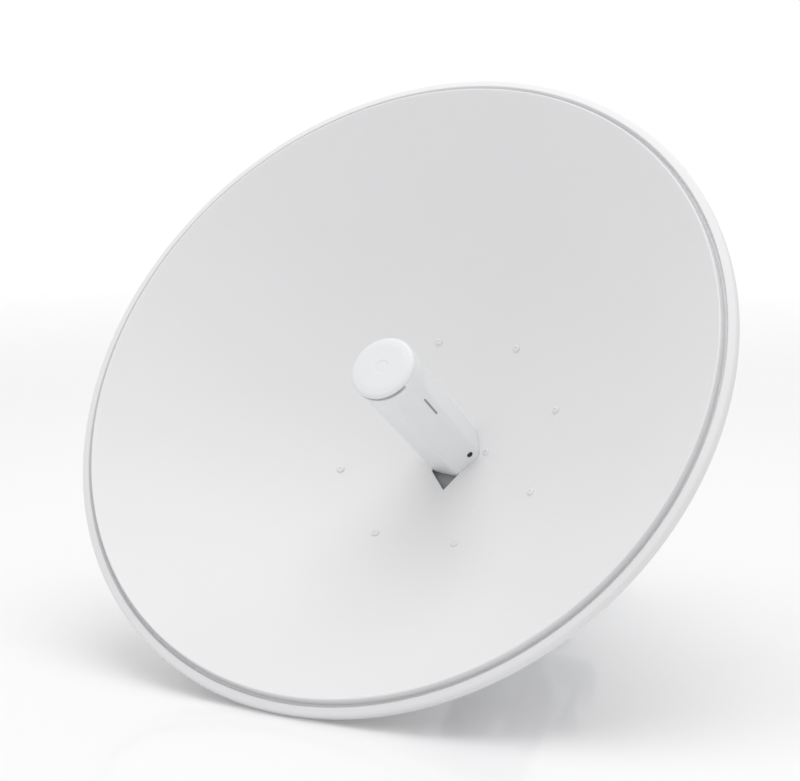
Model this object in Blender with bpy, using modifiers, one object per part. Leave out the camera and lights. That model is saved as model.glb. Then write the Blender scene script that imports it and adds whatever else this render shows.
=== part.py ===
"""Wireless bridge dish antenna: a deep pressed dish with a radio feed on its axis and a pole clamp behind it.

Every piece is placed in the dish's own axes: X to the right, Y up in the plane of the rim, Z out along
the axis from the bottom of the bowl. One empty holds them all and leans the whole antenna back, so that it
rests on a level floor on the rim's lowest point and on the lower jaw of its pole clamp.
"""

import math

import bmesh
import bpy
from mathutils import Matrix, Vector

MM = 0.001
GAP = 0.3 * MM

# Dish
RIM_RADIUS = 325 * MM
BOWL_EDGE_RADIUS = 309 * MM
FOCAL_LENGTH = 158.25 * MM
SHEET = 2 * MM
BOWL_START_RADIUS = 20 * MM
INNER_RINGS = 3
OUTER_RINGS = 6
DISH_STEPS = 84
LIP_BACK_Z = 138.5 * MM
HOLE_AHEAD = 6 * MM
ROUND_STEPS = 16
SMALL_STEPS = 12
FINE_STEPS = 20

# How the antenna rests
AXIS_ELEVATION = math.radians(36)

# Rivets that hold the backing plate
RIVET_COUNT = 8
RIVET_RING_RADIUS = 111.8 * MM
RIVET_RADIUS = 2.5 * MM
RIVET_HEAD_RADIUS = 3.8 * MM
RIVET_HEAD_HEIGHT = 1.7 * MM
RIVET_COLLAR_RADIUS = 4.6 * MM
RIVET_COLLAR_HEIGHT = 3 * MM
RIVET_HOLE_BEHIND = 16 * MM
RIVET_CROWN_RADIUS = 2.28 * MM
RIVET_CROWN_HEIGHT = 1.36 * MM

# Backing plate behind the bowl
PLATE = 3 * MM
PLATE_FLANGE_RINGS = 2
PLATE_OUTER_RADIUS = 124 * MM
PLATE_FLANGE_RADIUS = 97 * MM
PLATE_FLOOR_RADIUS = 90 * MM
PLATE_BORE_RADIUS = 46 * MM
PLATE_FLOOR_Z = -25 * MM
PLATE_STEPS = 48

# Feed: a tube with six rounded facets, a round collar and a cap
FEED_FLAT_BASE = 25.6 * MM
FEED_FLAT_TOP = 27 * MM
FEED_FACETS = 6
FEED_CORNER_ROUNDING = 1.13
FEED_TURN = math.radians(-6)
FEED_ROUNDING_POWER = 24
FEED_BOTTOM_Z = -2.3 * MM
FEED_MIDDLE_HEIGHTS = (44 * MM, 86 * MM)
FEED_TOP_Z = 164.2 * MM
COLLAR_START_Z = 128 * MM
COLLAR_MIDDLE_HEIGHTS = (137 * MM, 146 * MM)
COLLAR_FULL_Z = 153 * MM
COLLAR_RADIUS = 30.8 * MM
FEED_POINTS = 36
SPIGOT_RADIUS = 20 * MM
SPIGOT_END_Z = -28 * MM
SPIGOT_LAP = 6 * MM
SPIGOT_STEPS = 32
CAP_RADIUS = 31 * MM
CAP_FACE_Z = 168.4 * MM
CAP_EDGE = ((8 * MM, 0), (3 * MM, 0.6 * MM), (0.8 * MM, 1.8 * MM), (0, 3.4 * MM))
CAP_SLOT_Z = 160.2 * MM
CAP_SLOT_DROP = 14 * MM
CAP_SLOT_ABOVE = 4 * MM
SEAL_RADIUS = 26 * MM
NOTCH_LEFT_X = -16 * MM
NOTCH_RIGHT_X = 13.5 * MM
NOTCH_INNER_Y = -21.6 * MM
NOTCH_SHOULDER_Y = -25.5 * MM
NOTCH_TIP = (4 * MM, -45 * MM)
NOTCH_DEPTH = 12 * MM
HUB_HOLE_REACH = 12 * MM
HUB_HOLE_CLEARANCE = 0.4 * MM

# Status window and latch on the facet that faces down and to the right
SIDE_FACET = math.radians(-30) + FEED_TURN
LED_OFFSET = 9.6 * MM
LED_LOW_Z = 95 * MM
LED_LENGTH = 30 * MM
LED_WIDTH = 2.6 * MM
LED_DEPTH = 1.6 * MM
LED_ROUNDING = 0.4 * MM
LATCH_OFFSET = 7.5 * MM
LATCH_Z = 12.5 * MM
LATCH_RADIUS = 3.2 * MM
LATCH_DEPTH = 2 * MM
LATCH_HEIGHT = 1 * MM
LATCH_FACE_RADIUS = 2.4 * MM
LATCH_FACE_HEIGHT = 0.9 * MM
LATCH_EDGE_HEIGHT = 0.2 * MM

# Screws beside the feed
HUB_SCREW_RADIUS = 35 * MM
HUB_SCREW_TURNS = (0, math.pi)
HUB_SCREW_HEAD = 3.6 * MM
HUB_SCREW_HEIGHT = 1 * MM
HUB_SCREW_FACE_RADIUS = 2.88 * MM
HUB_SCREW_FACE_HEIGHT = 0.9 * MM
HUB_SCREW_SHANK = 2 * MM
HUB_SCREW_HOLE_BEHIND = 12 * MM
HUB_SCREW_WELL = 9 * MM

# Rear housing with its two cast cheeks
HOUSING_NECK_RADIUS = 44 * MM
HOUSING_FRONT_Z = -2.7 * MM
HOUSING_FLANGE_RADIUS = 66 * MM
HOUSING_FLANGE = 7 * MM
HOUSING_FLANGE_CHAMFER = 2 * MM
HOUSING_SHOULDER = 3 * MM
HOUSING_BACK_RADIUS = 43 * MM
HOUSING_BACK_CHAMFER = 5 * MM
HOUSING_BACK_Z = -70 * MM
HOUSING_STEPS = 40
HOUSING_BOLT_RING = 56 * MM
HOUSING_BOLT_COUNT = 4
HOUSING_BOLT_HOLE_Z = -50 * MM
HOUSING_BOLT_BEYOND = 4 * MM
CHEEK_INNER_X = 31 * MM
CHEEK = 5 * MM
CHEEK_START_Z = -64 * MM
CHEEK_END_Z = -136 * MM
CHEEK_HALF_HEIGHT = 38 * MM
CHEEK_TAPER = 6 * MM
CHEEK_CORNER = ((16 * MM, 0), (4 * MM, 6 * MM), (0, 18 * MM))
PIVOT_Z = -118 * MM
PIVOT_Y = -20 * MM
LOCK_Z = -104 * MM
LOCK_Y = 22 * MM
LOCK_SWEEP = math.radians(22)
SLOT_STEPS = 10
SLOT_END_STEPS = 6
BOLT_RADIUS = 4 * MM
BOLT_HOLE_RADIUS = 4.4 * MM
BOLT_BEYOND = 4 * MM
NUT_FLATS = 13 * MM
NUT_HEIGHT = 6.5 * MM
NUT_BORE = 4.5 * MM
NUT_CORNER_RADIUS = NUT_FLATS / math.sqrt(3)
NUT_FLANGE_RADIUS = 8.4 * MM
NUT_FLANGE = 1.6 * MM
NUT_LAP = 1 * MM

# Port cover and cable grommet under the housing
PORT_BOSS_HALF_X = 22 * MM
PORT_BOSS_Y = -52 * MM
PORT_BOSS_DEPTH = 30 * MM
PORT_BOSS_ROUNDING = 2 * MM
PORT_FRONT_Z = -36 * MM
PORT_BACK_Z = -66 * MM
PORT_COVER = 2.6 * MM
PORT_COVER_INSET = 2 * MM
PORT_COVER_ROUNDING = 0.8 * MM
GROMMET_RADIUS = 5 * MM
GROMMET_TIP_RADIUS = 4 * MM
GROMMET_ROOT_RADIUS = 5.5 * MM
GROMMET_LIP_RADIUS = 7 * MM
GROMMET_LIP = 1.8 * MM
GROMMET_REACH = 6 * MM
GROMMET_HOLE = (-6 * MM, 8 * MM)
GROMMET_STEPS = 24

# Pole bracket and clamp
ARM_OUTER_X = 30.5 * MM
ARM = 4 * MM
ARM_FRONT_Z = -92 * MM
ARM_HALF_HEIGHT = 35 * MM
ARM_CORNER = 12 * MM
ARM_FLARE = 8 * MM
WEB_FRONT_Z = -150 * MM
WEB = 4 * MM
WEB_ROUNDING = 1 * MM
PAD_HALF_WIDTH = 30 * MM
PAD_HALF_HEIGHT = 25 * MM
PAD_HEIGHT = 1 * MM
CLAMP_HALF_WIDTH = 54 * MM
CLAMP_HALF_HEIGHT = 60 * MM
JAW_HEIGHT = 30 * MM
VEE_HALF_WIDTH = 34 * MM
VEE_DEPTH = 15.5 * MM
VEE_FLOOR_HALF_WIDTH = 4 * MM
VEE_TEETH = 4
TOOTH_DEPTH = 2 * MM
VEE_CHAMFER = 6 * MM
SADDLE_DEPTH = 18 * MM
SADDLE_HEIGHT = 28 * MM
CLAMP_OPENING = 19 * MM
CLAMP_BOLT_X = 44 * MM
CLAMP_HOLE_BEYOND = 9 * MM
CLAMP_HEAD_RADIUS = 8.5 * MM
CLAMP_HEAD_HEIGHT = 4.5 * MM
CLAMP_HEAD_SHAPE = ((1, 0), (0.92, 0.45), (0.6, 0.85), (0, 1))

WHITE_PAINT = ((0.80, 0.81, 0.82), 0.42, 0.0)
WHITE_PLASTIC = ((0.82, 0.83, 0.83), 0.38, 0.0)
GREY_CASTING = ((0.58, 0.59, 0.60), 0.50, 0.3)
ZINC_STEEL = ((0.62, 0.63, 0.64), 0.35, 0.9)
DARK_RUBBER = ((0.05, 0.05, 0.055), 0.75, 0.0)
DARK_LENS = ((0.16, 0.17, 0.18), 0.25, 0.0)
RIVET_WHITE = ((0.78, 0.79, 0.80), 0.35, 0.2)


def bowl_height(radius):
    """Height of the bowl's front surface above its bottom."""
    return radius * radius / (4 * FOCAL_LENGTH)


def bowl_slope(radius):
    return math.atan(radius / (2 * FOCAL_LENGTH))


def behind_bowl(radius, distance):
    """Height of a surface that follows the bowl at this distance behind its front."""
    return bowl_height(radius) - distance / math.cos(bowl_slope(radius))


def rim_front():
    """The rim from the bowl's edge outwards: a crest, a groove, a sloping band and a lip turned back."""
    return [
        (310.6 * MM, 151.9 * MM),
        (312.2 * MM, 151.5 * MM),
        (313.1 * MM, 143.2 * MM),
        (315.2 * MM, 142.6 * MM),
        (317.0 * MM, 147.8 * MM),
        (321.6 * MM, 147.2 * MM),
        (324.0 * MM, 145.9 * MM),
        (RIM_RADIUS, 143.6 * MM),
        (RIM_RADIUS, LIP_BACK_Z),
    ]


def rim_back():
    """The same rim seen from behind, from the lip inwards."""
    return [
        (RIM_RADIUS - SHEET, LIP_BACK_Z),
        (RIM_RADIUS - SHEET, 143.2 * MM),
        (321.0 * MM, 145.1 * MM),
        (318.9 * MM, 145.4 * MM),
        (316.6 * MM, 140.5 * MM),
        (311.6 * MM, 141.0 * MM),
        (310.3 * MM, 148.6 * MM),
    ]


def spaced(inner, outer, rings):
    """Radii at even steps, both ends included."""
    return [inner + (outer - inner) * i / rings for i in range(rings + 1)]


def bowl_radii():
    """The bowl's rings, two of which run through the hub screws and through the rivets."""
    inner = spaced(HUB_SCREW_RADIUS, RIVET_RING_RADIUS, INNER_RINGS)
    outer = spaced(RIVET_RING_RADIUS, BOWL_EDGE_RADIUS, OUTER_RINGS)
    return [BOWL_START_RADIUS] + inner + outer[1:]


# The outermost and lowest points of the resting antenna, in the dish's own axes.
FLAT_RIM = math.cos(math.pi / DISH_STEPS)
VERTEX_HEIGHT = RIM_RADIUS * FLAT_RIM * math.cos(AXIS_ELEVATION) - LIP_BACK_Z * math.sin(AXIS_ELEVATION)
JAW_BACK_Z = -(VERTEX_HEIGHT - CLAMP_HALF_HEIGHT * math.cos(AXIS_ELEVATION)) / math.sin(AXIS_ELEVATION)
FRONT_REACH = max(
    z * math.cos(AXIS_ELEVATION) + radius * FLAT_RIM * math.sin(AXIS_ELEVATION) for radius, z in rim_front()
)
REAR_REACH = -JAW_BACK_Z * math.cos(AXIS_ELEVATION) + CLAMP_HALF_HEIGHT * math.sin(AXIS_ELEVATION)
SADDLE_TIP_Z = WEB_FRONT_Z - WEB - SADDLE_DEPTH
JAW_TIP_Z = SADDLE_TIP_Z - CLAMP_OPENING
JAW_RISE = CLAMP_HALF_HEIGHT - JAW_HEIGHT / 2


def clear_scene():
    for obj in list(bpy.data.objects):
        bpy.data.objects.remove(obj, do_unlink=True)


def new_collection(name):
    collection = bpy.data.collections.new(name)
    bpy.context.scene.collection.children.link(collection)
    return collection


def make_material(name, finish):
    colour, roughness, metallic = finish
    material = bpy.data.materials.new(name)
    material.use_nodes = True
    shader = material.node_tree.nodes["Principled BSDF"]
    shader.inputs["Base Color"].default_value = (*colour, 1)
    shader.inputs["Roughness"].default_value = roughness
    shader.inputs["Metallic"].default_value = metallic
    material.diffuse_color = (*colour, 1)
    return material


clear_scene()
ANTENNA = new_collection("dish_antenna")
CUTTERS = new_collection("cutters")
DISH_AXES = bpy.data.objects.new("dish_axes", None)
ANTENNA.objects.link(DISH_AXES)
DISH_AXES.rotation_euler = (math.pi / 2 - AXIS_ELEVATION, 0, 0)
DISH_AXES.location = (0, (FRONT_REACH - REAR_REACH) / 2, VERTEX_HEIGHT)


def place(obj, material=None, matrix=None):
    """Puts a finished object in the dish's axes, with its material."""
    ANTENNA.objects.link(obj)
    obj.parent = DISH_AXES
    if matrix is not None:
        obj.matrix_local = matrix
    if material is not None:
        obj.data.materials.append(material)
    return obj


def place_tool(obj, matrix=None):
    """Puts a shape that only cuts or joins in the dish's axes, out of the render."""
    CUTTERS.objects.link(obj)
    obj.parent = DISH_AXES
    if matrix is not None:
        obj.matrix_local = matrix
    obj.hide_render = True
    obj.display_type = "WIRE"
    return obj


def mesh_object(name, bm):
    mesh = bpy.data.meshes.new(name)
    bmesh.ops.recalc_face_normals(bm, faces=bm.faces)
    bm.to_mesh(mesh)
    bm.free()
    return bpy.data.objects.new(name, mesh)


def smooth(obj, angle=35):
    obj.data.shade_smooth()
    obj.data.set_sharp_from_angle(angle=math.radians(angle))


def turned(name, profile, steps, closed=False):
    """A shape turned about Z from (radius, height) points that run down its outer side."""
    bm = bmesh.new()
    points = [bm.verts.new((radius, 0, z)) for radius, z in profile]
    for i in range(len(points) - 1):
        bm.edges.new((points[i], points[i + 1]))
    if closed:
        bm.edges.new((points[-1], points[0]))
    mesh = bpy.data.meshes.new(name)
    bm.to_mesh(mesh)
    bm.free()
    obj = bpy.data.objects.new(name, mesh)
    screw = obj.modifiers.new("turn", "SCREW")
    screw.steps = steps
    screw.render_steps = steps
    screw.use_merge_vertices = True
    screw.merge_threshold = 0.01 * MM
    screw.use_smooth_shade = True
    return obj


def add_boolean(obj, tool, operation):
    modifier = obj.modifiers.new(tool.name, "BOOLEAN")
    modifier.operation = operation
    modifier.object = tool
    modifier.solver = "EXACT"


def block(name, size, centre, bevel=0.0, segments=2):
    """A box with rounded edges, its place kept in its mesh."""
    bm = bmesh.new()
    bmesh.ops.create_cube(bm, size=1, matrix=Matrix.Translation(centre) @ Matrix.Diagonal((*size, 1)))
    if bevel:
        bmesh.ops.bevel(
            bm, geom=bm.edges, offset=bevel, segments=segments, affect="EDGES", profile=0.5, clamp_overlap=True
        )
    return mesh_object(name, bm)


def add_cylinder(bm, radius, low_z, high_z, sides, matrix=None):
    """A closed cylinder between two heights, turned by the matrix."""
    placed = Matrix.Translation((0, 0, (low_z + high_z) / 2))
    if matrix is not None:
        placed = matrix @ placed
    bmesh.ops.create_cone(
        bm, cap_ends=True, segments=sides, radius1=radius, radius2=radius, depth=high_z - low_z, matrix=placed
    )


def cylinder(name, radius, low_z, high_z, sides, matrix=None):
    bm = bmesh.new()
    add_cylinder(bm, radius, low_z, high_z, sides, matrix)
    return mesh_object(name, bm)


def circle_points(centre, radius, count):
    """A closed round outline."""
    turns = [2 * math.pi * i / count for i in range(count)]
    return [(centre[0] + radius * math.cos(t), centre[1] + radius * math.sin(t)) for t in turns]


def plate(name, outlines, thickness, matrix):
    """A flat plate cut to its outlines, as a closed mesh, centred on its own plane."""
    curve = bpy.data.curves.new(name, "CURVE")
    curve.dimensions = "2D"
    curve.fill_mode = "BOTH"
    curve.extrude = thickness / 2
    for points in outlines:
        spline = curve.splines.new("POLY")
        spline.points.add(len(points) - 1)
        for point, (x, y) in zip(spline.points, points):
            point.co = (x, y, 0, 1)
        spline.use_cyclic_u = True
    drawn = bpy.data.objects.new(name + "_outline", curve)
    CUTTERS.objects.link(drawn)
    bpy.context.view_layer.update()
    evaluated = drawn.evaluated_get(bpy.context.evaluated_depsgraph_get())
    mesh = bpy.data.meshes.new_from_object(evaluated)
    bpy.data.objects.remove(drawn, do_unlink=True)
    bm = bmesh.new()
    bm.from_mesh(mesh)
    bmesh.ops.remove_doubles(bm, verts=bm.verts, dist=0.001 * MM)
    bm.transform(matrix)
    return mesh_object(name, bm)


def feed_radius(angle, z):
    """Distance from the axis to the feed tube's surface."""
    share = (z - FEED_BOTTOM_Z) / (FEED_TOP_Z - FEED_BOTTOM_Z)
    flat = FEED_FLAT_BASE + (FEED_FLAT_TOP - FEED_FLAT_BASE) * share
    facet = 2 * math.pi / FEED_FACETS
    off_centre = (angle - FEED_TURN + math.pi / 2 + facet / 2) % facet - facet / 2
    faceted = flat / math.cos(off_centre)
    rounding = flat * FEED_CORNER_ROUNDING
    power = -FEED_ROUNDING_POWER
    rounded = (faceted**power + rounding**power) ** (1 / power)
    t = min(max((z - COLLAR_START_Z) / (COLLAR_FULL_Z - COLLAR_START_Z), 0), 1)
    blend = t * t * (3 - 2 * t)
    return rounded + (COLLAR_RADIUS - rounded) * blend


def feed_loft(name, heights, clearance=0.0, section_z=None):
    """A closed loft through the feed's sections at these heights, or one section for all of them."""
    bm = bmesh.new()
    rings = []
    for z in heights:
        ring = []
        for i in range(FEED_POINTS):
            angle = FEED_TURN + 2 * math.pi * i / FEED_POINTS
            radius = feed_radius(angle, z if section_z is None else section_z) + clearance
            ring.append(bm.verts.new((radius * math.cos(angle), radius * math.sin(angle), z)))
        rings.append(ring)
    for low, high in zip(rings, rings[1:]):
        for i in range(FEED_POINTS):
            j = (i + 1) % FEED_POINTS
            bm.faces.new((low[i], low[j], high[j], high[i]))
    bm.faces.new(reversed(rings[0]))
    bm.faces.new(rings[-1])
    return mesh_object(name, bm)


def surface_frame(radius, angle):
    """The matrix that stands an object on the bowl there, with its Z along the surface's normal."""
    slope = bowl_slope(radius)
    turn = Matrix.Rotation(angle, 4, "Z")
    lean = Matrix.Rotation(-slope, 4, "Y")
    return Matrix.Translation(turn @ Vector((radius, 0, bowl_height(radius)))) @ turn @ lean


def side_frame(z, offset):
    """The matrix of a point on the side facet, with its Z out of the facet and its Y along the tube."""
    out = Vector((math.cos(SIDE_FACET), math.sin(SIDE_FACET), 0))
    across = Vector((-math.sin(SIDE_FACET), math.cos(SIDE_FACET), 0))
    angle = SIDE_FACET + math.atan2(offset, FEED_FLAT_BASE)
    distance = feed_radius(angle, z) * math.cos(angle - SIDE_FACET)
    origin = out * distance + across * offset + Vector((0, 0, z))
    axes = Matrix((across, Vector((0, 0, 1)), out)).transposed().to_4x4()
    return Matrix.Translation(origin) @ axes


def rivet_frames():
    spacing = 2 * math.pi / RIVET_COUNT
    return [surface_frame(RIVET_RING_RADIUS, -math.pi / 2 + spacing * (i + 0.5)) for i in range(RIVET_COUNT)]


def hub_screw_frames():
    return [surface_frame(HUB_SCREW_RADIUS, turn) for turn in HUB_SCREW_TURNS]


def housing_bolt_frames():
    spacing = 2 * math.pi / HOUSING_BOLT_COUNT
    centres = [polar_point((0, 0), HOUSING_BOLT_RING, spacing * (i + 0.5)) for i in range(HOUSING_BOLT_COUNT)]
    return [Matrix.Translation((*centre, 0)) for centre in centres]


def clamp_bolt_frames():
    return [Matrix.Translation((x * CLAMP_BOLT_X, y * JAW_RISE, 0)) for y in (1, -1) for x in (-1, 1)]


def drill(name, radius, low_z, high_z, sides, frames):
    """One cutting shape made of a cylinder in each frame."""
    bm = bmesh.new()
    for frame in frames:
        add_cylinder(bm, radius, low_z, high_z, sides, frame)
    return place_tool(mesh_object(name, bm))


def build_tools():
    """The shapes that cut the holes."""
    notch = [
        (NOTCH_LEFT_X, NOTCH_INNER_Y),
        (NOTCH_LEFT_X, NOTCH_SHOULDER_Y),
        NOTCH_TIP,
        (NOTCH_RIGHT_X, NOTCH_SHOULDER_Y),
        (NOTCH_RIGHT_X, NOTCH_INNER_Y),
    ]
    rivet = RIVET_RADIUS + GAP
    screw = HUB_SCREW_SHANK + GAP
    clamp_low = JAW_BACK_Z - CLAMP_HOLE_BEYOND
    clamp_high = WEB_FRONT_Z + CLAMP_HOLE_BEYOND
    housing = housing_bolt_frames()
    clamp = clamp_bolt_frames()
    hole = [-HUB_HOLE_REACH, HUB_HOLE_REACH]
    return {
        "rivets": drill("rivet_holes", rivet, -RIVET_HOLE_BEHIND, HOLE_AHEAD, SMALL_STEPS, rivet_frames()),
        "hub_screws": drill(
            "hub_screw_holes", screw, -HUB_SCREW_HOLE_BEHIND, HOLE_AHEAD, SMALL_STEPS, hub_screw_frames()
        ),
        "wells": drill("hub_screw_wells", screw, -HUB_SCREW_WELL, HOLE_AHEAD, SMALL_STEPS, hub_screw_frames()),
        "feed": place_tool(feed_loft("feed_hole", hole, HUB_HOLE_CLEARANCE, 0)),
        "notch": place_tool(plate("drain_notch", [notch], NOTCH_DEPTH, Matrix.Identity(4))),
        "housing_bolts": drill(
            "housing_bolt_holes", BOLT_HOLE_RADIUS, HOUSING_BOLT_HOLE_Z, 0, ROUND_STEPS, housing
        ),
        "clamp_bolts": drill("clamp_bolt_holes", BOLT_HOLE_RADIUS, clamp_low, clamp_high, ROUND_STEPS, clamp),
    }


def build_reflector(tools, paint):
    front = [(r, bowl_height(r)) for r in bowl_radii()]
    back = [(r, behind_bowl(r, SHEET)) for r in bowl_radii()]
    profile = front + rim_front() + rim_back() + list(reversed(back))
    reflector = turned("reflector", profile, DISH_STEPS, closed=True)
    place(reflector, paint, Matrix.Rotation(math.pi / DISH_STEPS, 4, "Z"))
    for key in ("feed", "notch", "rivets", "hub_screws"):
        add_boolean(reflector, tools[key], "DIFFERENCE")


def build_rivets(paint):
    """Domed heads in the bowl, shanks through both sheets and collars behind."""
    grip = SHEET + GAP + PLATE + 2 * GAP
    for i, frame in enumerate(rivet_frames()):
        profile = [
            (0, RIVET_HEAD_HEIGHT + GAP),
            (RIVET_CROWN_RADIUS, RIVET_CROWN_HEIGHT + GAP),
            (RIVET_HEAD_RADIUS, GAP),
            (RIVET_RADIUS, GAP),
            (RIVET_RADIUS, -grip),
            (RIVET_COLLAR_RADIUS, -grip),
            (RIVET_COLLAR_RADIUS, -grip - RIVET_COLLAR_HEIGHT),
            (0, -grip - RIVET_COLLAR_HEIGHT),
        ]
        place(turned(f"frame_rivet_{i + 1}", profile, SMALL_STEPS), paint, frame)


def build_backing_plate(tools, paint):
    """A hat-shaped plate: its flange follows the bowl and its floor carries the housing."""
    near = SHEET + GAP
    far = near + PLATE
    radii = spaced(PLATE_FLANGE_RADIUS, PLATE_OUTER_RADIUS, PLATE_FLANGE_RINGS)
    profile = [(r, behind_bowl(r, near)) for r in radii]
    profile += [(r, behind_bowl(r, far)) for r in reversed(radii)]
    profile += [
        (PLATE_FLOOR_RADIUS + PLATE, PLATE_FLOOR_Z + PLATE),
        (PLATE_FLOOR_RADIUS, PLATE_FLOOR_Z),
        (PLATE_BORE_RADIUS, PLATE_FLOOR_Z),
        (PLATE_BORE_RADIUS, PLATE_FLOOR_Z + PLATE),
        (PLATE_FLOOR_RADIUS - PLATE, PLATE_FLOOR_Z + PLATE),
        (PLATE_FLANGE_RADIUS - PLATE, behind_bowl(PLATE_FLANGE_RADIUS - PLATE, near)),
    ]
    backing = turned("backing_plate", profile, PLATE_STEPS, closed=True)
    place(backing, paint)
    add_boolean(backing, tools["rivets"], "DIFFERENCE")
    add_boolean(backing, tools["housing_bolts"], "DIFFERENCE")


def build_feed(paint, seal, lens):
    """The faceted tube with its spigot, its cap and seal, and the window and latch in its side."""
    collar = [COLLAR_START_Z, *COLLAR_MIDDLE_HEIGHTS, COLLAR_FULL_Z]
    feed = place(feed_loft("feed_tube", [FEED_BOTTOM_Z, *FEED_MIDDLE_HEIGHTS, *collar, FEED_TOP_Z]), paint)
    smooth(feed)
    top = FEED_BOTTOM_Z + SPIGOT_LAP
    spigot = cylinder("feed_spigot", SPIGOT_RADIUS, SPIGOT_END_Z, top, SPIGOT_STEPS)
    add_boolean(feed, place_tool(spigot), "UNION")
    build_cap(feed, paint, seal)
    build_window(feed, lens)
    build_latch(feed, seal)


def build_cap(feed, paint, seal):
    """The cap, and the seal that shows in the slot below it on the tube's lower side."""
    depth = FEED_TOP_Z + CAP_SLOT_ABOVE - CAP_SLOT_Z
    wide = 3 * CAP_RADIUS
    slot = block("cap_slot", (wide, wide, depth), (0, -CAP_SLOT_DROP - wide / 2, CAP_SLOT_Z + depth / 2))
    add_boolean(feed, place_tool(slot), "DIFFERENCE")
    profile = [(0, CAP_FACE_Z)]
    profile += [(CAP_RADIUS - inset, CAP_FACE_Z - drop) for inset, drop in CAP_EDGE]
    profile += [(CAP_RADIUS, FEED_TOP_Z + GAP), (0, FEED_TOP_Z + GAP)]
    place(turned("feed_cap", profile, FEED_POINTS), paint)
    low_z = CAP_SLOT_Z + GAP
    gasket = place(cylinder("cap_seal", SEAL_RADIUS, low_z, FEED_TOP_Z, FEED_POINTS), seal)
    middle = (low_z + FEED_TOP_Z) / 2
    inner = block("seal_cut", (wide, wide, depth), (0, wide / 2 - CAP_SLOT_DROP - GAP, middle))
    add_boolean(gasket, place_tool(inner), "DIFFERENCE")


def build_window(feed, lens):
    frame = side_frame(LED_LOW_Z + LED_LENGTH / 2, LED_OFFSET)
    pocket = block("led_pocket", (LED_WIDTH + 2 * GAP, LED_LENGTH + 2 * GAP, 2 * LED_DEPTH), (0, 0, 0))
    add_boolean(feed, place_tool(pocket, frame), "DIFFERENCE")
    size = (LED_WIDTH, LED_LENGTH, LED_DEPTH)
    place(block("led_window", size, (0, 0, GAP - LED_DEPTH / 2), LED_ROUNDING), lens, frame)


def build_latch(feed, rubber):
    frame = side_frame(LATCH_Z, LATCH_OFFSET)
    well = cylinder("latch_well", LATCH_RADIUS + GAP, -LATCH_DEPTH, LATCH_DEPTH, FINE_STEPS)
    add_boolean(feed, place_tool(well, frame), "DIFFERENCE")
    profile = [
        (0, LATCH_HEIGHT),
        (LATCH_FACE_RADIUS, LATCH_FACE_HEIGHT),
        (LATCH_RADIUS, LATCH_EDGE_HEIGHT),
        (LATCH_RADIUS, GAP - LATCH_DEPTH),
        (0, GAP - LATCH_DEPTH),
    ]
    place(turned("latch_button", profile, FINE_STEPS), rubber, frame)


def build_hub_screws(metal):
    """Flat-headed screws that pull the bowl onto the housing's neck."""
    profile = [
        (0, HUB_SCREW_HEIGHT),
        (HUB_SCREW_FACE_RADIUS, HUB_SCREW_FACE_HEIGHT),
        (HUB_SCREW_HEAD, GAP),
        (HUB_SCREW_SHANK, GAP),
        (HUB_SCREW_SHANK, -SHEET - GAP),
        (0, -SHEET - GAP),
    ]
    for side, frame in zip(("right", "left"), hub_screw_frames()):
        place(turned(f"hub_screw_{side}", profile, ROUND_STEPS), metal, frame)


def build_housing(tools, casting):
    """A cast housing: a neck up to the bowl, a bolted flange, a round body and two cheeks with slots."""
    back = HOUSING_BACK_Z
    flange_z = PLATE_FLOOR_Z - GAP
    profile = [
        (0, SPIGOT_END_Z - GAP),
        (SPIGOT_RADIUS + GAP, SPIGOT_END_Z - GAP),
        (SPIGOT_RADIUS + GAP, HOUSING_FRONT_Z),
        (HOUSING_NECK_RADIUS, HOUSING_FRONT_Z),
        (HOUSING_NECK_RADIUS, flange_z),
        (HOUSING_FLANGE_RADIUS, flange_z),
        (HOUSING_FLANGE_RADIUS, flange_z - HOUSING_FLANGE + HOUSING_FLANGE_CHAMFER),
        (HOUSING_FLANGE_RADIUS - HOUSING_FLANGE_CHAMFER, flange_z - HOUSING_FLANGE),
        (HOUSING_NECK_RADIUS + HOUSING_SHOULDER, flange_z - HOUSING_FLANGE),
        (HOUSING_BACK_RADIUS, back + HOUSING_BACK_CHAMFER),
        (HOUSING_BACK_RADIUS - HOUSING_BACK_CHAMFER, back),
        (0, back),
    ]
    housing = turned("rear_housing", profile, HOUSING_STEPS)
    place(housing, casting)
    for side, sign in (("left", -1), ("right", 1)):
        cheek = plate(f"cheek_{side}", cheek_outlines(), CHEEK, standing(sign * (CHEEK_INNER_X + CHEEK / 2)))
        add_boolean(housing, place_tool(cheek), "UNION")
    depth = PORT_FRONT_Z - PORT_BACK_Z
    centre = (0, PORT_BOSS_Y + PORT_BOSS_DEPTH / 2, PORT_BACK_Z + depth / 2)
    size = (2 * PORT_BOSS_HALF_X, PORT_BOSS_DEPTH, depth)
    add_boolean(housing, place_tool(block("port_boss", size, centre, PORT_BOSS_ROUNDING)), "UNION")
    add_boolean(housing, tools["housing_bolts"], "DIFFERENCE")
    add_boolean(housing, tools["wells"], "DIFFERENCE")
    add_boolean(housing, tools["notch"], "DIFFERENCE")


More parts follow.
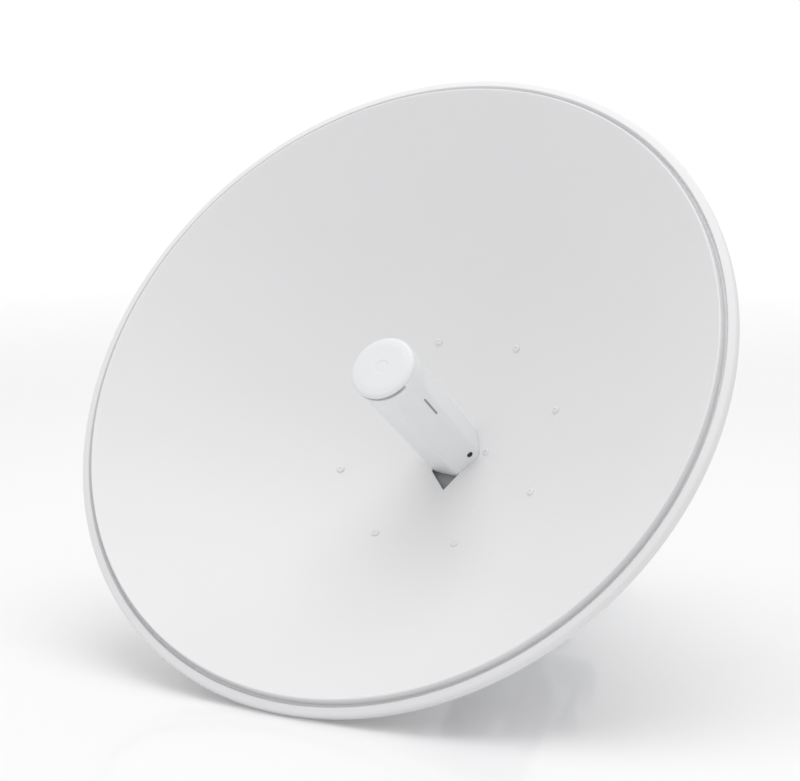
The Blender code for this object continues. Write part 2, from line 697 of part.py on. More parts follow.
def cheek_outlines():
    """A cheek's edge, its arc slot and its pivot hole, as (axis, height) points."""
    lower = [(CHEEK_START_Z, -CHEEK_HALF_HEIGHT + CHEEK_TAPER)]
    lower += [(CHEEK_END_Z + along, -CHEEK_HALF_HEIGHT + rise) for along, rise in CHEEK_CORNER]
    outline = lower + [(z, -y) for z, y in reversed(lower)]
    arm = math.hypot(LOCK_Z - PIVOT_Z, LOCK_Y - PIVOT_Y)
    middle = math.atan2(LOCK_Y - PIVOT_Y, LOCK_Z - PIVOT_Z)
    slot = slot_points((PIVOT_Z, PIVOT_Y), arm, middle - LOCK_SWEEP, middle + LOCK_SWEEP, BOLT_HOLE_RADIUS)
    return [outline, slot, circle_points((PIVOT_Z, PIVOT_Y), BOLT_HOLE_RADIUS, FINE_STEPS)]


def slot_points(pivot, arm, start, end, half_width):
    """A slot along an arc about a pivot, with round ends."""
    turns = [start + (end - start) * i / SLOT_STEPS for i in range(SLOT_STEPS + 1)]
    points = [polar_point(pivot, arm + half_width, turn) for turn in turns]
    points += round_end(polar_point(pivot, arm, end), half_width, end)
    points += [polar_point(pivot, arm - half_width, turn) for turn in reversed(turns)]
    return points + round_end(polar_point(pivot, arm, start), half_width, start + math.pi)


def round_end(centre, radius, start):
    step = math.pi / SLOT_END_STEPS
    return [polar_point(centre, radius, start + step * i) for i in range(1, SLOT_END_STEPS)]


def polar_point(centre, radius, turn):
    return (centre[0] + radius * math.cos(turn), centre[1] + radius * math.sin(turn))


def build_housing_bolts(metal):
    top = PLATE_FLOOR_Z + PLATE + HOUSING_BOLT_BEYOND
    seat = PLATE_FLOOR_Z - GAP - HOUSING_FLANGE - GAP
    for i, frame in enumerate(housing_bolt_frames()):
        bolt = place(headed_bolt(f"housing_bolt_{i + 1}", seat, top), metal, frame)
        smooth(bolt)


def headed_bolt(name, seat_z, end_z):
    """A hexagon bolt whose head lies below its seat and whose shank runs up to its end."""
    shank = cylinder(name, BOLT_RADIUS, seat_z - NUT_HEIGHT / 2, end_z, ROUND_STEPS)
    head = cylinder(name + "_head", NUT_CORNER_RADIUS, seat_z - NUT_HEIGHT, seat_z - NUT_LAP, 6)
    washer = cylinder(name + "_washer", NUT_FLANGE_RADIUS, seat_z - NUT_FLANGE, seat_z, FINE_STEPS)
    return merged_solid(name, [shank, head, washer])


def merged_solid(name, parts):
    """One closed body from solids that overlap, joined by Boolean unions."""
    base = parts[0]
    ANTENNA.objects.link(base)
    for part in parts[1:]:
        CUTTERS.objects.link(part)
        add_boolean(base, part, "UNION")
    bpy.context.view_layer.update()
    mesh = bpy.data.meshes.new_from_object(base.evaluated_get(bpy.context.evaluated_depsgraph_get()))
    for part in parts:
        bpy.data.objects.remove(part, do_unlink=True)
    mesh.name = name
    return bpy.data.objects.new(name, mesh)


def place_nut(name, seat_z, metal, matrix):
    """A hexagon nut with a flange below it, closed over the bolt's end."""
    hexagon = cylinder(name, NUT_CORNER_RADIUS, seat_z + NUT_LAP, seat_z + NUT_HEIGHT, 6)
    washer = cylinder(name + "_washer", NUT_FLANGE_RADIUS, seat_z, seat_z + NUT_FLANGE, FINE_STEPS)
    nut = place(merged_solid(name, [hexagon, washer]), metal, matrix)
    bore = cylinder(name + "_bore", BOLT_RADIUS + GAP, seat_z - NUT_LAP, seat_z + NUT_BORE, ROUND_STEPS)
    add_boolean(nut, place_tool(bore, matrix), "DIFFERENCE")
    smooth(nut)


def build_pivot(metal):
    """The pivot bolt and the locking bolt across both cheeks, with their nuts."""
    outer = CHEEK_INNER_X + CHEEK + GAP
    for name, y, z in (("pivot", PIVOT_Y, PIVOT_Z), ("lock", LOCK_Y, LOCK_Z)):
        # The bolt's own axis runs along X, from its head on the left to its nut on the right.
        along = Matrix.Translation((0, y, z)) @ Matrix.Rotation(math.pi / 2, 4, "Y")
        bolt = place(headed_bolt(f"{name}_bolt", -outer, outer + BOLT_BEYOND), metal, along)
        smooth(bolt)
        place_nut(f"{name}_nut", outer, metal, along)


def build_port(casting, rubber):
    """The cover over the network port and the grommet that the cable would pass through."""
    middle_z = (PORT_FRONT_Z + PORT_BACK_Z) / 2
    cover_y = PORT_BOSS_Y - GAP - PORT_COVER / 2
    inset = 2 * PORT_COVER_INSET
    size = (2 * PORT_BOSS_HALF_X - inset, PORT_COVER, PORT_FRONT_Z - PORT_BACK_Z - inset)
    cover = place(block("port_cover", size, (0, cover_y, middle_z), PORT_COVER_ROUNDING), casting)
    down = Matrix.Translation((0, PORT_BOSS_Y, middle_z)) @ Matrix.Rotation(math.pi / 2, 4, "X")
    hole = cylinder("grommet_hole", GROMMET_RADIUS + GAP, *GROMMET_HOLE, GROMMET_STEPS)
    add_boolean(cover, place_tool(hole, down), "DIFFERENCE")
    lip = PORT_COVER + 2 * GAP
    profile = [
        (0, lip + GROMMET_REACH),
        (GROMMET_TIP_RADIUS, lip + GROMMET_REACH),
        (GROMMET_ROOT_RADIUS, lip + GROMMET_LIP),
        (GROMMET_LIP_RADIUS, lip + GROMMET_LIP),
        (GROMMET_LIP_RADIUS, lip),
        (GROMMET_RADIUS, lip),
        (GROMMET_RADIUS, GAP),
        (0, GAP),
    ]
    place(turned("cable_grommet", profile, GROMMET_STEPS), rubber, down)


def vee_outline(base_z, tip_z, towards):
    """The outline of a toothed vee block from its flat base to its tips, as (x, axis) points."""
    half = CLAMP_HALF_WIDTH
    floor_z = tip_z - towards * VEE_DEPTH
    corner_z = tip_z - towards * VEE_CHAMFER
    points = [(-half, base_z), (half, base_z), (half, corner_z), (half - VEE_CHAMFER, tip_z)]
    flank = []
    for i in range(VEE_TEETH):
        for share, lift in ((i / VEE_TEETH, 0), ((i + 0.5) / VEE_TEETH, TOOTH_DEPTH)):
            x = VEE_HALF_WIDTH + (VEE_FLOOR_HALF_WIDTH - VEE_HALF_WIDTH) * share
            z = tip_z + (floor_z - tip_z) * share - towards * lift
            flank.append((x, z))
    flank.append((VEE_FLOOR_HALF_WIDTH, floor_z))
    points += flank
    points += [(-x, z) for x, z in reversed(flank)]
    points += [(-half + VEE_CHAMFER, tip_z), (-half, corner_z)]
    return points


def standing(x):
    """Stands an outline drawn as (axis, height) up in the dish's axes at this distance to the side."""
    return Matrix(((0, 0, 1, x), (0, 1, 0, 0), (1, 0, 0, 0), (0, 0, 0, 1)))


def lying(y):
    """Lays an outline drawn as (x, axis) down across the dish's axes at this height."""
    return Matrix(((1, 0, 0, 0), (0, 0, -1, y), (0, 1, 0, 0), (0, 0, 0, 1)))


def arm_outlines():
    """An arm's edge and its two bolt holes, as (axis, height) points."""
    lower = [
        (WEB_FRONT_Z - WEB / 2, -ARM_HALF_HEIGHT - ARM_FLARE),
        (ARM_FRONT_Z - ARM_CORNER, -ARM_HALF_HEIGHT),
        (ARM_FRONT_Z, -ARM_HALF_HEIGHT + ARM_CORNER),
    ]
    outline = lower + [(z, -y) for z, y in reversed(lower)]
    centres = ((PIVOT_Z, PIVOT_Y), (LOCK_Z, LOCK_Y))
    return [outline] + [circle_points(centre, BOLT_HOLE_RADIUS, FINE_STEPS) for centre in centres]


def build_pole_bracket(tools, steel):
    """A web with two arms forward to the cheeks, a raised pad and two toothed saddles for the pole."""
    web_z = WEB_FRONT_Z - WEB / 2
    web = (2 * CLAMP_HALF_WIDTH, 2 * CLAMP_HALF_HEIGHT, WEB)
    bracket = place(block("pole_bracket", web, (0, 0, web_z), WEB_ROUNDING), steel)
    for side, sign in (("left", -1), ("right", 1)):
        arm = plate(f"arm_{side}", arm_outlines(), ARM, standing(sign * (ARM_OUTER_X - ARM / 2)))
        add_boolean(bracket, place_tool(arm), "UNION")
    outline = vee_outline(web_z, SADDLE_TIP_Z, -1)
    for side, sign in (("upper", 1), ("lower", -1)):
        saddle = plate(f"saddle_{side}", [outline], SADDLE_HEIGHT, lying(sign * JAW_RISE))
        add_boolean(bracket, place_tool(saddle), "UNION")
    depth = WEB / 2 + PAD_HEIGHT
    pad = block("pole_pad", (2 * PAD_HALF_WIDTH, 2 * PAD_HALF_HEIGHT, depth), (0, 0, web_z - depth / 2))
    add_boolean(bracket, place_tool(pad), "UNION")
    add_boolean(bracket, tools["clamp_bolts"], "DIFFERENCE")


def build_jaws(tools, steel):
    outline = vee_outline(JAW_BACK_Z, JAW_TIP_Z, 1)
    for side, sign in (("upper", 1), ("lower", -1)):
        jaw = place(plate(f"clamp_jaw_{side}", [outline], JAW_HEIGHT, lying(sign * JAW_RISE)), steel)
        add_boolean(jaw, tools["clamp_bolts"], "DIFFERENCE")


def build_clamp_bolts(metal):
    """Round-headed bolts from behind, with flange nuts in front of the web."""
    seat = JAW_BACK_Z - GAP
    end = WEB_FRONT_Z + GAP + BOLT_BEYOND
    profile = [(0, end), (BOLT_RADIUS, end), (BOLT_RADIUS, seat)]
    for width, height in CLAMP_HEAD_SHAPE:
        profile.append((CLAMP_HEAD_RADIUS * width, seat - CLAMP_HEAD_HEIGHT * height))
    for i, frame in enumerate(clamp_bolt_frames()):
        place(turned(f"clamp_bolt_{i + 1}", profile, ROUND_STEPS), metal, frame)
        place_nut(f"clamp_nut_{i + 1}", WEB_FRONT_Z + GAP, metal, frame)


def main():
    paint = make_material("white_paint", WHITE_PAINT)
    plastic = make_material("white_plastic", WHITE_PLASTIC)
    casting = make_material("grey_casting", GREY_CASTING)
    zinc = make_material("zinc_steel", ZINC_STEEL)
    rubber = make_material("dark_rubber", DARK_RUBBER)
    lens = make_material("dark_lens", DARK_LENS)
    rivet = make_material("rivet_white", RIVET_WHITE)
    tools = build_tools()
    build_reflector(tools, paint)
    build_rivets(rivet)
    build_backing_plate(tools, zinc)
    build_feed(plastic, rubber, lens)
    build_hub_screws(zinc)
    build_housing(tools, casting)
    build_housing_bolts(zinc)
    build_port(casting, rubber)
    build_pivot(zinc)
    build_pole_bracket(tools, zinc)
    build_jaws(tools, zinc)
    build_clamp_bolts(zinc)


main()
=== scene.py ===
"""The finished surfaces of a wireless bridge dish antenna, modelled around its fixed solids."""

import math
from contextlib import contextmanager

import bmesh
import bpy
from bpy.props import FloatProperty, FloatVectorProperty, PointerProperty
from mathutils import Matrix, Vector


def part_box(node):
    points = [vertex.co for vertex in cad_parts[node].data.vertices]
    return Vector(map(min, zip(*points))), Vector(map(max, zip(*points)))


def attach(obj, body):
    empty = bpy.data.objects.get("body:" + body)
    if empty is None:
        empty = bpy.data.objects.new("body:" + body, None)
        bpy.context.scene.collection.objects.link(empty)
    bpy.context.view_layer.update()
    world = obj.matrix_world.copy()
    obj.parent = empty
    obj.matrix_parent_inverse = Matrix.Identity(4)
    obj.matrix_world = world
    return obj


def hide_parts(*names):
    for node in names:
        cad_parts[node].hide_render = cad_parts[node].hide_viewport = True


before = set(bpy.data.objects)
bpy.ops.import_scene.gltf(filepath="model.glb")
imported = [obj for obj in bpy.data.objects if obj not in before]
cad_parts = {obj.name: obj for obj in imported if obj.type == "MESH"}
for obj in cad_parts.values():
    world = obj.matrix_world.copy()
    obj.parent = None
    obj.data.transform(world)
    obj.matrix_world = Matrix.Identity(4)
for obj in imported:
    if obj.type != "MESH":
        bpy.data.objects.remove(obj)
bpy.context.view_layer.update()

bl_info = {
    "name": "Dish antenna",
    "version": (1, 0, 0),
    "blender": (4, 5, 0),
    "location": "View3D > Sidebar > Antenna",
    "description": "Models the finished pieces of a wireless bridge dish antenna, its floor and its light",
    "category": "Object",
}

MM = 0.001
GAP = 0.3 * MM
MERGE = 0.002 * MM


def mm(*points):
    """An outline written in millimetres; a point's third number is the radius that rounds its corner."""
    return [tuple(value * MM for value in point) for point in points]


# Places that the fixed solids share, in the dish's own axes
AXIS_ELEVATION = math.radians(36)
PIVOT_Y = -20 * MM
PIVOT_Z = -118 * MM
LOCK_Y = 22 * MM
LOCK_Z = -104 * MM
LOCK_SWEEP = math.radians(22)

# Bowl
HUB_RADIUS = 20 * MM
HUB_RING_STEP = 2 * MM
HUB_RINGS_END = 48 * MM
BOWL_RINGS = 34
BOWL_STEPS = 288
RIM_GROOVE = mm((311.6, 152.6, 1.2), (313, 142.9, 0.8), (315.2, 142.3, 0.9), (317, 148, 1))
RIM_BAND_Z = 146.6 * MM
RIM_BAND_BACK_Z = 144.8 * MM
RIM_GROOVE_BACK = mm((318.8, 145.8, 1.2), (316.6, 140.3, 1), (311.4, 140.9, 1), (310.2, 148.8, 0.9))
HUB_HOLE_CLEARANCE = 0.1 * MM
HUB_HOLE_REACH = 12 * MM
SCOOP = mm((-16, -21.6), (-16, -25.5, 1), (4, -45, 1.5), (13.5, -25.5, 1), (13.5, -21.6))
SCOOP_DEPTH = 6 * MM

# Rivets and screws in the bowl
RIVET_COUNT = 8
RIVET_RING_RADIUS = 111.8 * MM
RIVET_HEAD = mm(
    (0, 1.1), (1.1, 1.1, 0.2), (1.4, 1.9, 0.3), (2.6, 1.6, 1), (3.7, 0.9, 0.5), (3.8, 0.1), (2.5, 0.1)
)
RIVET_COLLAR = mm((2.5, 0), (4.6, 0, 0.4), (4.6, -1.6, 1.4), (2.6, -3, 0.8), (0, -2.6))
HUB_SCREW_RADIUS = 35 * MM
SCREW_HEAD = mm((0, 1.3), (3, 1.15, 0.8), (3.6, 0.1), (2, 0.1))

# Feed
FEED_FACETS = 6
FEED_TURN = math.radians(-6)
FEED_BOTTOM_Z = -2.3 * MM
FEED_TOP_Z = 164.2 * MM
FEED_TOP_EDGE = 0.4 * MM
TUBE_RINGS = 8
COLLAR_START_Z = 124 * MM
COLLAR_FULL_Z = 153 * MM
COLLAR_RINGS = 16
SPIGOT_SHRINK = 0.72
SPIGOT_RADIUS = 20 * MM
SPIGOT_END_Z = -28 * MM
CAP_SLOT_Z = 160.2 * MM
CAP_SLOT_DROP = 14 * MM
CAP_SLOT_CUT = 10 * MM
CAP_DISC = mm((0, -0.35), (6.4, -0.35, 0.15), (6.8, 0, 0.2))
SEAL_RADIUS = 26 * MM
SIDE_FACET = math.radians(-30) + FEED_TURN
INLAY_CLEARANCE = 0.2 * MM
LED_Z = 110 * MM
LED_OFFSET = 9.6 * MM
LED_LENGTH = 30 * MM
LED_WIDTH = 1.8 * MM
LED_DEPTH = 1.6 * MM
LED_SEAM = 0.1 * MM
LATCH_Z = 12.5 * MM
LATCH_OFFSET = 7.5 * MM
LATCH_RADIUS = 2.7 * MM
LATCH_DEPTH = 2 * MM
LATCH_FACE = mm((0, 0.7), (1.2, 0.7, 0.3), (1.7, 1.1, 0.3), (2.7, 0.9, 0.5))

# Backing plate
PLATE = 3 * MM
PLATE_OUTER_RADIUS = 124 * MM
PLATE_FLANGE_RADIUS = 97 * MM
PLATE_BORE_RADIUS = 46 * MM
PLATE_FLOOR_Z = -25 * MM
PLATE_BEAD = mm((69.5, 0, 2), (72.5, 1.6, 2), (75.5, 1.6, 2), (78.5, 0, 2))
DENT_SIZE = (8 * MM, 2.6 * MM, 2.4 * MM)
DENT_RADIUS = 91.3 * MM
DENT_RISE = 0.4 * MM
DENT_LEAN = math.radians(-48)

# Housing
HOUSING_NECK_RADIUS = 44 * MM
HOUSING_FRONT_Z = -2.7 * MM
HOUSING_FLANGE_RADIUS = 66 * MM
HOUSING_FLANGE = 7 * MM
HOUSING_BACK_Z = -70 * MM
HOUSING_BACK = mm((43, 0, 5), (29, 0, 1), (27.4, 1.4, 1), (0, 1.4))
HOUSING_BOLT_RING = 56 * MM
RIB_COUNT = 12
RIB = 2.6 * MM
RIB_END_Z = -58 * MM
CHEEK_INNER_X = 31 * MM
CHEEK = 5 * MM
CHEEK_END_Z = -136 * MM
CHEEK_HALF_HEIGHT = 38 * MM
MARK_STEPS = 4
MARK_RADIUS = 53.2 * MM
LONG_MARK = 2.6 * MM
SHORT_MARK = 1.6 * MM
PORT_HALF_X = 22 * MM
PORT_Y = -52 * MM
PORT_HEIGHT = 30 * MM
PORT_FRONT_Z = -36 * MM
PORT_BACK_Z = -66 * MM
PORT_COVER = 2.6 * MM
PORT_SCREW_X = 14.5 * MM
PORT_SCREW = mm((0, 1.2), (2.6, 0.9, 0.6), (2.8, -0.4), (0, -0.4))
GROMMET_RADIUS = 5 * MM
GROMMET_RIBS = 3
GROMMET_RIB = mm((-0.4, 0), (0, 0.5, 0.2), (0, 0.9, 0.2))
GROMMET_END = mm((3.6, 6, 0.3), (1.8, 6, 0.3), (1.5, 4.6), (0, 4.6))

# Pole bracket and clamp
ARM_OUTER_X = 30.5 * MM
ARM = 4 * MM
ARM_FRONT_Z = -92 * MM
ARM_HALF_HEIGHT = 35 * MM
WEB_FRONT_Z = -150 * MM
WEB = 4 * MM
PAD_SIZE = (60 * MM, 50 * MM, 3 * MM)
SADDLE = 28 * MM
CLAMP_HALF_WIDTH = 54 * MM
CLAMP_HALF_HEIGHT = 60 * MM
JAW_HEIGHT = 30 * MM
SADDLE_DEPTH = 18 * MM
CLAMP_OPENING = 19 * MM
VEE_HALF_WIDTH = 34 * MM
VEE_DEPTH = 15.5 * MM
VEE_FLOOR_HALF_WIDTH = 4 * MM
VEE_TEETH = 4
TOOTH_DEPTH = 2 * MM
POCKET = mm((2, -11.5, 3), (32.5, -11.5, 3), (32.5, 11.5, 3), (2, 11.5, 3))
POCKET_DEPTH = 13 * MM
CLAMP_BOLT_X = 44 * MM

# Fasteners
BOLT_RADIUS = 4 * MM
BOLT_HOLE_RADIUS = 4.4 * MM
BOLT_REACH = 8.5 * MM
THREAD_LENGTH = 15 * MM
THREAD_PITCH = 1.25 * MM
THREAD_DEPTH = 0.62 * MM
NUT_FLATS = 13 * MM
NUT_HEIGHT = 6.5 * MM
NUT_FLANGE = mm((0, 0), (8.4, 0, 0.3), (8.4, 0.9, 0.4), (7.2, 1.9, 0.5), (0, 1.9))
CARRIAGE_HEAD = mm((8.5, 0, 0.3), (8.4, -1, 0.8), (6.6, -3.2, 4), (3, -4.4, 4), (0, -4.5))

# Studio, in metres, with a long lens to the right of the dish and a little above it
FLOOR_SIZE = 60
LIGHT_TARGET = (0, 0, 0.25)
OVERHEAD_PLACE = (0, 0, 2.6)
OVERHEAD_SIZE = 2.4
BEHIND_PLACE = (0, 1.7, 2.3)
BEHIND_SIZE = 1.6
CAMERA_PLACE = (1.0368, -1.8230, 0.6023)
CAMERA_BACK = (0.4993, -0.8500, 0.1679)
CAMERA_LENS = 102.083
CAMERA_SENSOR = 36
CAMERA_REACH = 200


def shift(x=0, y=0, z=0):
    return Matrix.Translation((x, y, z))


def rotation(angle, axis="Z"):
    return Matrix.Rotation(angle, 4, axis)


def dish_axes():
    """The matrix of the dish's own axes: X right, Y up in the rim's plane, Z out along the axis."""
    lean = rotation(math.pi / 2 - AXIS_ELEVATION, "X")
    low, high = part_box("pivot_bolt")
    pivot = lean @ Vector((0, PIVOT_Y, PIVOT_Z))
    return Matrix.Translation(Vector((0, (low.y + high.y) / 2, (low.z + high.z) / 2)) - pivot) @ lean


DISH_AXES = dish_axes()
SADDLE_TIP_Z = WEB_FRONT_Z - WEB - SADDLE_DEPTH
JAW_TIP_Z = SADDLE_TIP_Z - CLAMP_OPENING
JAW_BACK_Z = min((DISH_AXES.inverted() @ v.co).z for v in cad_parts["clamp_jaw_lower"].data.vertices)
JAW_RISE = CLAMP_HALF_HEIGHT - JAW_HEIGHT / 2


def linear(hex_colour):
    """An sRGB hex colour as linear RGBA."""
    channels = [int(hex_colour[i : i + 2], 16) / 255 for i in (1, 3, 5)]
    return (*[c / 12.92 if c <= 0.04045 else ((c + 0.055) / 1.055) ** 2.4 for c in channels], 1.0)


def amount(name, description, value, **kind):
    """A number that the panel shows."""
    return FloatProperty(name=name, description=description, default=value, **kind)


def length(name, description, millimetres):
    """A size that the panel shows."""
    return amount(name, description, millimetres * MM, precision=5, unit="LENGTH")


def colour(name, description, hex_colour):
    """A colour that the panel shows."""
    return FloatVectorProperty(
        name=name, description=description, default=linear(hex_colour), size=4, min=0, max=1, subtype="COLOR"
    )


def rim_radius_mm():
    """The rim's radius, just inside the flats of the fixed solid's rim."""
    low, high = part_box("reflector")
    return (high.x - low.x) / 2 / MM - 0.02


class DishSizes(bpy.types.PropertyGroup):
    """Sizes of the pressed bowl"""

    rim_radius: length("Rim radius", "Outside radius of the rolled rim", rim_radius_mm())
    bowl_edge: length("Bowl edge", "Radius at which the paraboloid ends", 309)
    focal_length: length("Focal length", "Focal length of the paraboloid", 158.25)
    sheet: length("Sheet", "Thickness of the pressed sheet", 2)
    lip_back: length("Lip", "Height of the rim's turned edge above the bowl's bottom", 138.5)


class FeedSizes(bpy.types.PropertyGroup):
    """Sizes of the feed on the dish's axis"""

    flat_base: length("Width at foot", "From the axis to a facet at the foot", 25.6)
    flat_top: length("Width at head", "From the axis to a facet at the head", 27)
    corner: length("Corner rounding", "Radius between two facets", 7.7)
    collar_radius: length("Collar", "Radius of the round collar", 30.8)
    cap_radius: length("Cap", "Radius of the cap", 31)
    cap_face: length("Cap height", "Height of the cap's face above the bowl's bottom", 168.4)
    cap_edge: length("Cap edge", "Width over which the cap's face falls away to its edge", 8)


class Finishes(bpy.types.PropertyGroup):
    """Colours of the materials"""

    paint: colour("Dish paint", "Powder coat of the bowl", "#E4E4E5")
    plastic: colour("Feed plastic", "Moulded plastic of the feed's tube", "#EAEBEB")
    # The cap's colour is the tube's plastic made a little darker: painted shade that tones down the cap's face,
    # which catches the overhead light.
    cap: colour("Cap plastic", "Moulded plastic of the feed's cap", "#E5E6E7")
    casting: colour("Casting", "Coated casting behind the dish", "#A9ACAF")
    zinc: colour("Zinc", "Plated steel of the bracket and bolts", "#B4B7BA")
    rubber: colour("Rubber", "Seal, latch and grommet", "#26272A")
    lens: colour("Window", "Smoked status window", "#96999B")


class StageSettings(bpy.types.PropertyGroup):
    """Floor, light and surround"""

    floor: colour("Floor", "Pale floor", "#F5F5F6")
    overhead: amount("Overhead", "Power of the soft light overhead", 21.4, unit="POWER")
    behind: amount("Behind", "Power of the soft light behind", 1.6, unit="POWER")
    sky: amount("Surround", "Strength of the white surround", 0.846, min=0)
    floor_glow: amount("Floor lift", "Light that lifts the far floor to white", 0.35, min=0)
    floor_gloss: amount("Floor gloss", "Share of the floor's faint mirror", 0.5, min=0)
    glow_start: length("Lift starts", "Distance at which the floor starts to lift to white", 1200)
    glow_end: length("Lift ends", "Distance at which the floor has lifted to white", 4000)


def give(tree, node, inputs):
    """Gives each named input a value, or the output socket that feeds it."""
    for name, value in inputs.items():
        if isinstance(value, bpy.types.NodeSocket):
            tree.links.new(value, node.inputs[name])
        else:
            node.inputs[name].default_value = value


def add_node(tree, kind, inputs=None, **settings):
    """Adds a node with its inputs and its settings."""
    node = tree.nodes.new(kind)
    for name, value in settings.items():
        setattr(node, name, value)
    give(tree, node, inputs or {})
    return node


def connect(tree, shader, **sockets):
    """Feeds the shader's named inputs; an underscore stands for a space."""
    give(tree, shader, {name.replace("_", " "): value for name, value in sockets.items()})


def per_metre(millimetres):
    """The texture scale that gives a pattern of this size on coordinates in metres."""
    return 1 / (millimetres * MM)


def new_material(name):
    """An empty node material with a Principled shader on its output, and the object's coordinates."""
    material = bpy.data.materials.new(name)
    material.use_nodes = True
    tree = material.node_tree
    tree.nodes.clear()
    shader = add_node(tree, "ShaderNodeBsdfPrincipled")
    add_node(tree, "ShaderNodeOutputMaterial", {"Surface": shader.outputs["BSDF"]})
    place = add_node(tree, "ShaderNodeTexCoord").outputs["Object"]
    return material, tree, shader, place


def shaded(rgba, share):
    """A colour made lighter or darker by a share of itself."""
    return (*[min(c * share, 1) for c in rgba[:3]], 1)


def mottled(tree, place, rgba, size_mm, spread):
    """The pattern of soft patches of this size, and the colour varied a little by it."""
    noise = add_node(tree, "ShaderNodeTexNoise", {"Vector": place, "Scale": per_metre(size_mm), "Detail": 3})
    ramp = add_node(tree, "ShaderNodeValToRGB", {"Fac": noise.outputs["Fac"]})
    for stop, position, share in zip(ramp.color_ramp.elements, (0.3, 0.7), (1 - spread, 1 + spread)):
        stop.position = position
        stop.color = shaded(rgba, share)
    return noise.outputs["Fac"], ramp.outputs["Color"]


def varied(tree, source, low, high):
    """A pattern's value moved into the range between two numbers."""
    inputs = {"Value": source, "To Min": low, "To Max": high}
    return add_node(tree, "ShaderNodeMapRange", inputs).outputs["Result"]


def relief(tree, height, depth_mm, strength, under=None):
    """A bump of this depth, laid over another one if there is one."""
    inputs = {"Height": height, "Distance": depth_mm * MM, "Strength": strength}
    if under is not None:
        inputs["Normal"] = under
    return add_node(tree, "ShaderNodeBump", inputs).outputs["Normal"]


def patterned(name, rgba, patch_mm, spread, roughness, grains=(), **sockets):
    """A material in soft patches, with noise reliefs of (size mm, detail, depth mm, strength), lowest first."""
    material, tree, shader, place = new_material(name)
    patches, tint = mottled(tree, place, rgba, patch_mm, spread)
    under = None
    for size_mm, detail, depth_mm, strength in grains:
        inputs = {"Vector": place, "Scale": per_metre(size_mm), "Detail": detail}
        grain = add_node(tree, "ShaderNodeTexNoise", inputs).outputs["Fac"]
        under = sockets["Normal"] = relief(tree, grain, depth_mm, strength, under)
    connect(tree, shader, Base_Color=tint, Roughness=varied(tree, patches, *roughness), **sockets)
    return material


def powder_coat(name, rgba):
    """Polyester powder coat on pressed aluminium: a satin white with the faint orange peel of the oven."""
    grains = ((1.8, 2, 0.02, 0.25), (0.35, 1, 0.006, 0.2))
    coat = {"Coat_Weight": 0.12, "Coat_Roughness": 0.3}
    return patterned(name, rgba, 140, 0.006, (0.44, 0.52), grains, IOR=1.5, **coat)


def moulded_plastic(name, rgba):
    """Weatherproof ASA, injection moulded against a spark-eroded tool: an even white with a fine grain."""
    grains = ((9, 1, 0.03, 0.12), (0.5, 3, 0.012, 0.25))
    return patterned(name, rgba, 60, 0.005, (0.34, 0.42), grains, IOR=1.52)


def coated_casting(name, rgba):
    """Die-cast aluminium under grey paint: the skin of the casting shows through as a fine pebble."""
    material, tree, shader, place = new_material(name)
    patches, tint = mottled(tree, place, rgba, 25, 0.03)
    cells = {"Vector": place, "Scale": per_metre(1.1)}
    pebble = add_node(tree, "ShaderNodeTexVoronoi", cells, feature="SMOOTH_F1")
    grain = add_node(tree, "ShaderNodeTexNoise", {"Vector": place, "Scale": per_metre(0.5), "Detail": 2})
    soft = relief(tree, pebble.outputs["Distance"], 0.05, 0.35)
    connect(
        tree,
        shader,
        Base_Color=tint,
        Roughness=varied(tree, patches, 0.46, 0.6),
        Normal=relief(tree, grain.outputs["Fac"], 0.02, 0.3, soft),
        IOR=1.5,
    )
    return material


def galvanised_sheet(name, rgba):
    """Hot-dip galvanised steel sheet: grey metal with the faint patchwork of zinc crystals."""
    material, tree, shader, place = new_material(name)
    warped = add_node(tree, "ShaderNodeTexNoise", {"Vector": place, "Scale": per_metre(14), "Detail": 2})
    mix = {"Factor": 0.06, "A": place, "B": warped.outputs["Color"]}
    wobble = add_node(tree, "ShaderNodeMix", mix, data_type="VECTOR").outputs["Result"]
    spangle = add_node(tree, "ShaderNodeTexVoronoi", {"Vector": wobble, "Scale": per_metre(7)})
    level = add_node(tree, "ShaderNodeRGBToBW", {"Color": spangle.outputs["Color"]}).outputs["Val"]
    ramp = add_node(tree, "ShaderNodeValToRGB", {"Fac": level})
    for stop, share in zip(ramp.color_ramp.elements, (0.9, 1.08)):
        stop.color = shaded(rgba, share)
    scuffs = add_node(tree, "ShaderNodeTexNoise", {"Vector": place, "Scale": per_metre(2.5), "Detail": 4})
    connect(
        tree,
        shader,
        Base_Color=ramp.outputs["Color"],
        Metallic=1.0,
        Roughness=varied(tree, level, 0.34, 0.5),
        Normal=relief(tree, scuffs.outputs["Fac"], 0.02, 0.2),
    )
    return material


def plated_steel(name, rgba):
    """Bright zinc plate on cold-headed steel: a cool metal with a slightly cloudy shine."""
    return patterned(name, rgba, 6, 0.05, (0.22, 0.38), ((0.7, 3, 0.01, 0.25),), Metallic=1.0)


def moulded_rubber(name, rgba):
    """EPDM rubber, compression moulded: matt near-black with a dry bloom."""
    return patterned(name, rgba, 8, 0.15, (0.66, 0.82), ((0.4, 3, 0.02, 0.3),), IOR=1.52)


def smoked_window(name, rgba):
    """Smoked polycarbonate: a dark glossy strip in soft patches a little lighter and darker."""
    return patterned(name, rgba, 5, 0.12, (0.12, 0.2), IOR=1.58, Coat_Weight=0.3, Coat_Roughness=0.08)


# How each finish is made, and its colour in the panel
MAKERS = {
    "powder_coated_aluminium": (powder_coat, "paint"),
    "moulded_asa": (moulded_plastic, "plastic"),
    # The cap's plastic in its darker colour, which is painted shade.
    "moulded_asa_cap": (moulded_plastic, "cap"),
    "coated_casting": (coated_casting, "casting"),
    "galvanised_sheet": (galvanised_sheet, "zinc"),
    "plated_steel": (plated_steel, "zinc"),
    "epdm_rubber": (moulded_rubber, "rubber"),
    "smoked_polycarbonate": (smoked_window, "lens"),
}


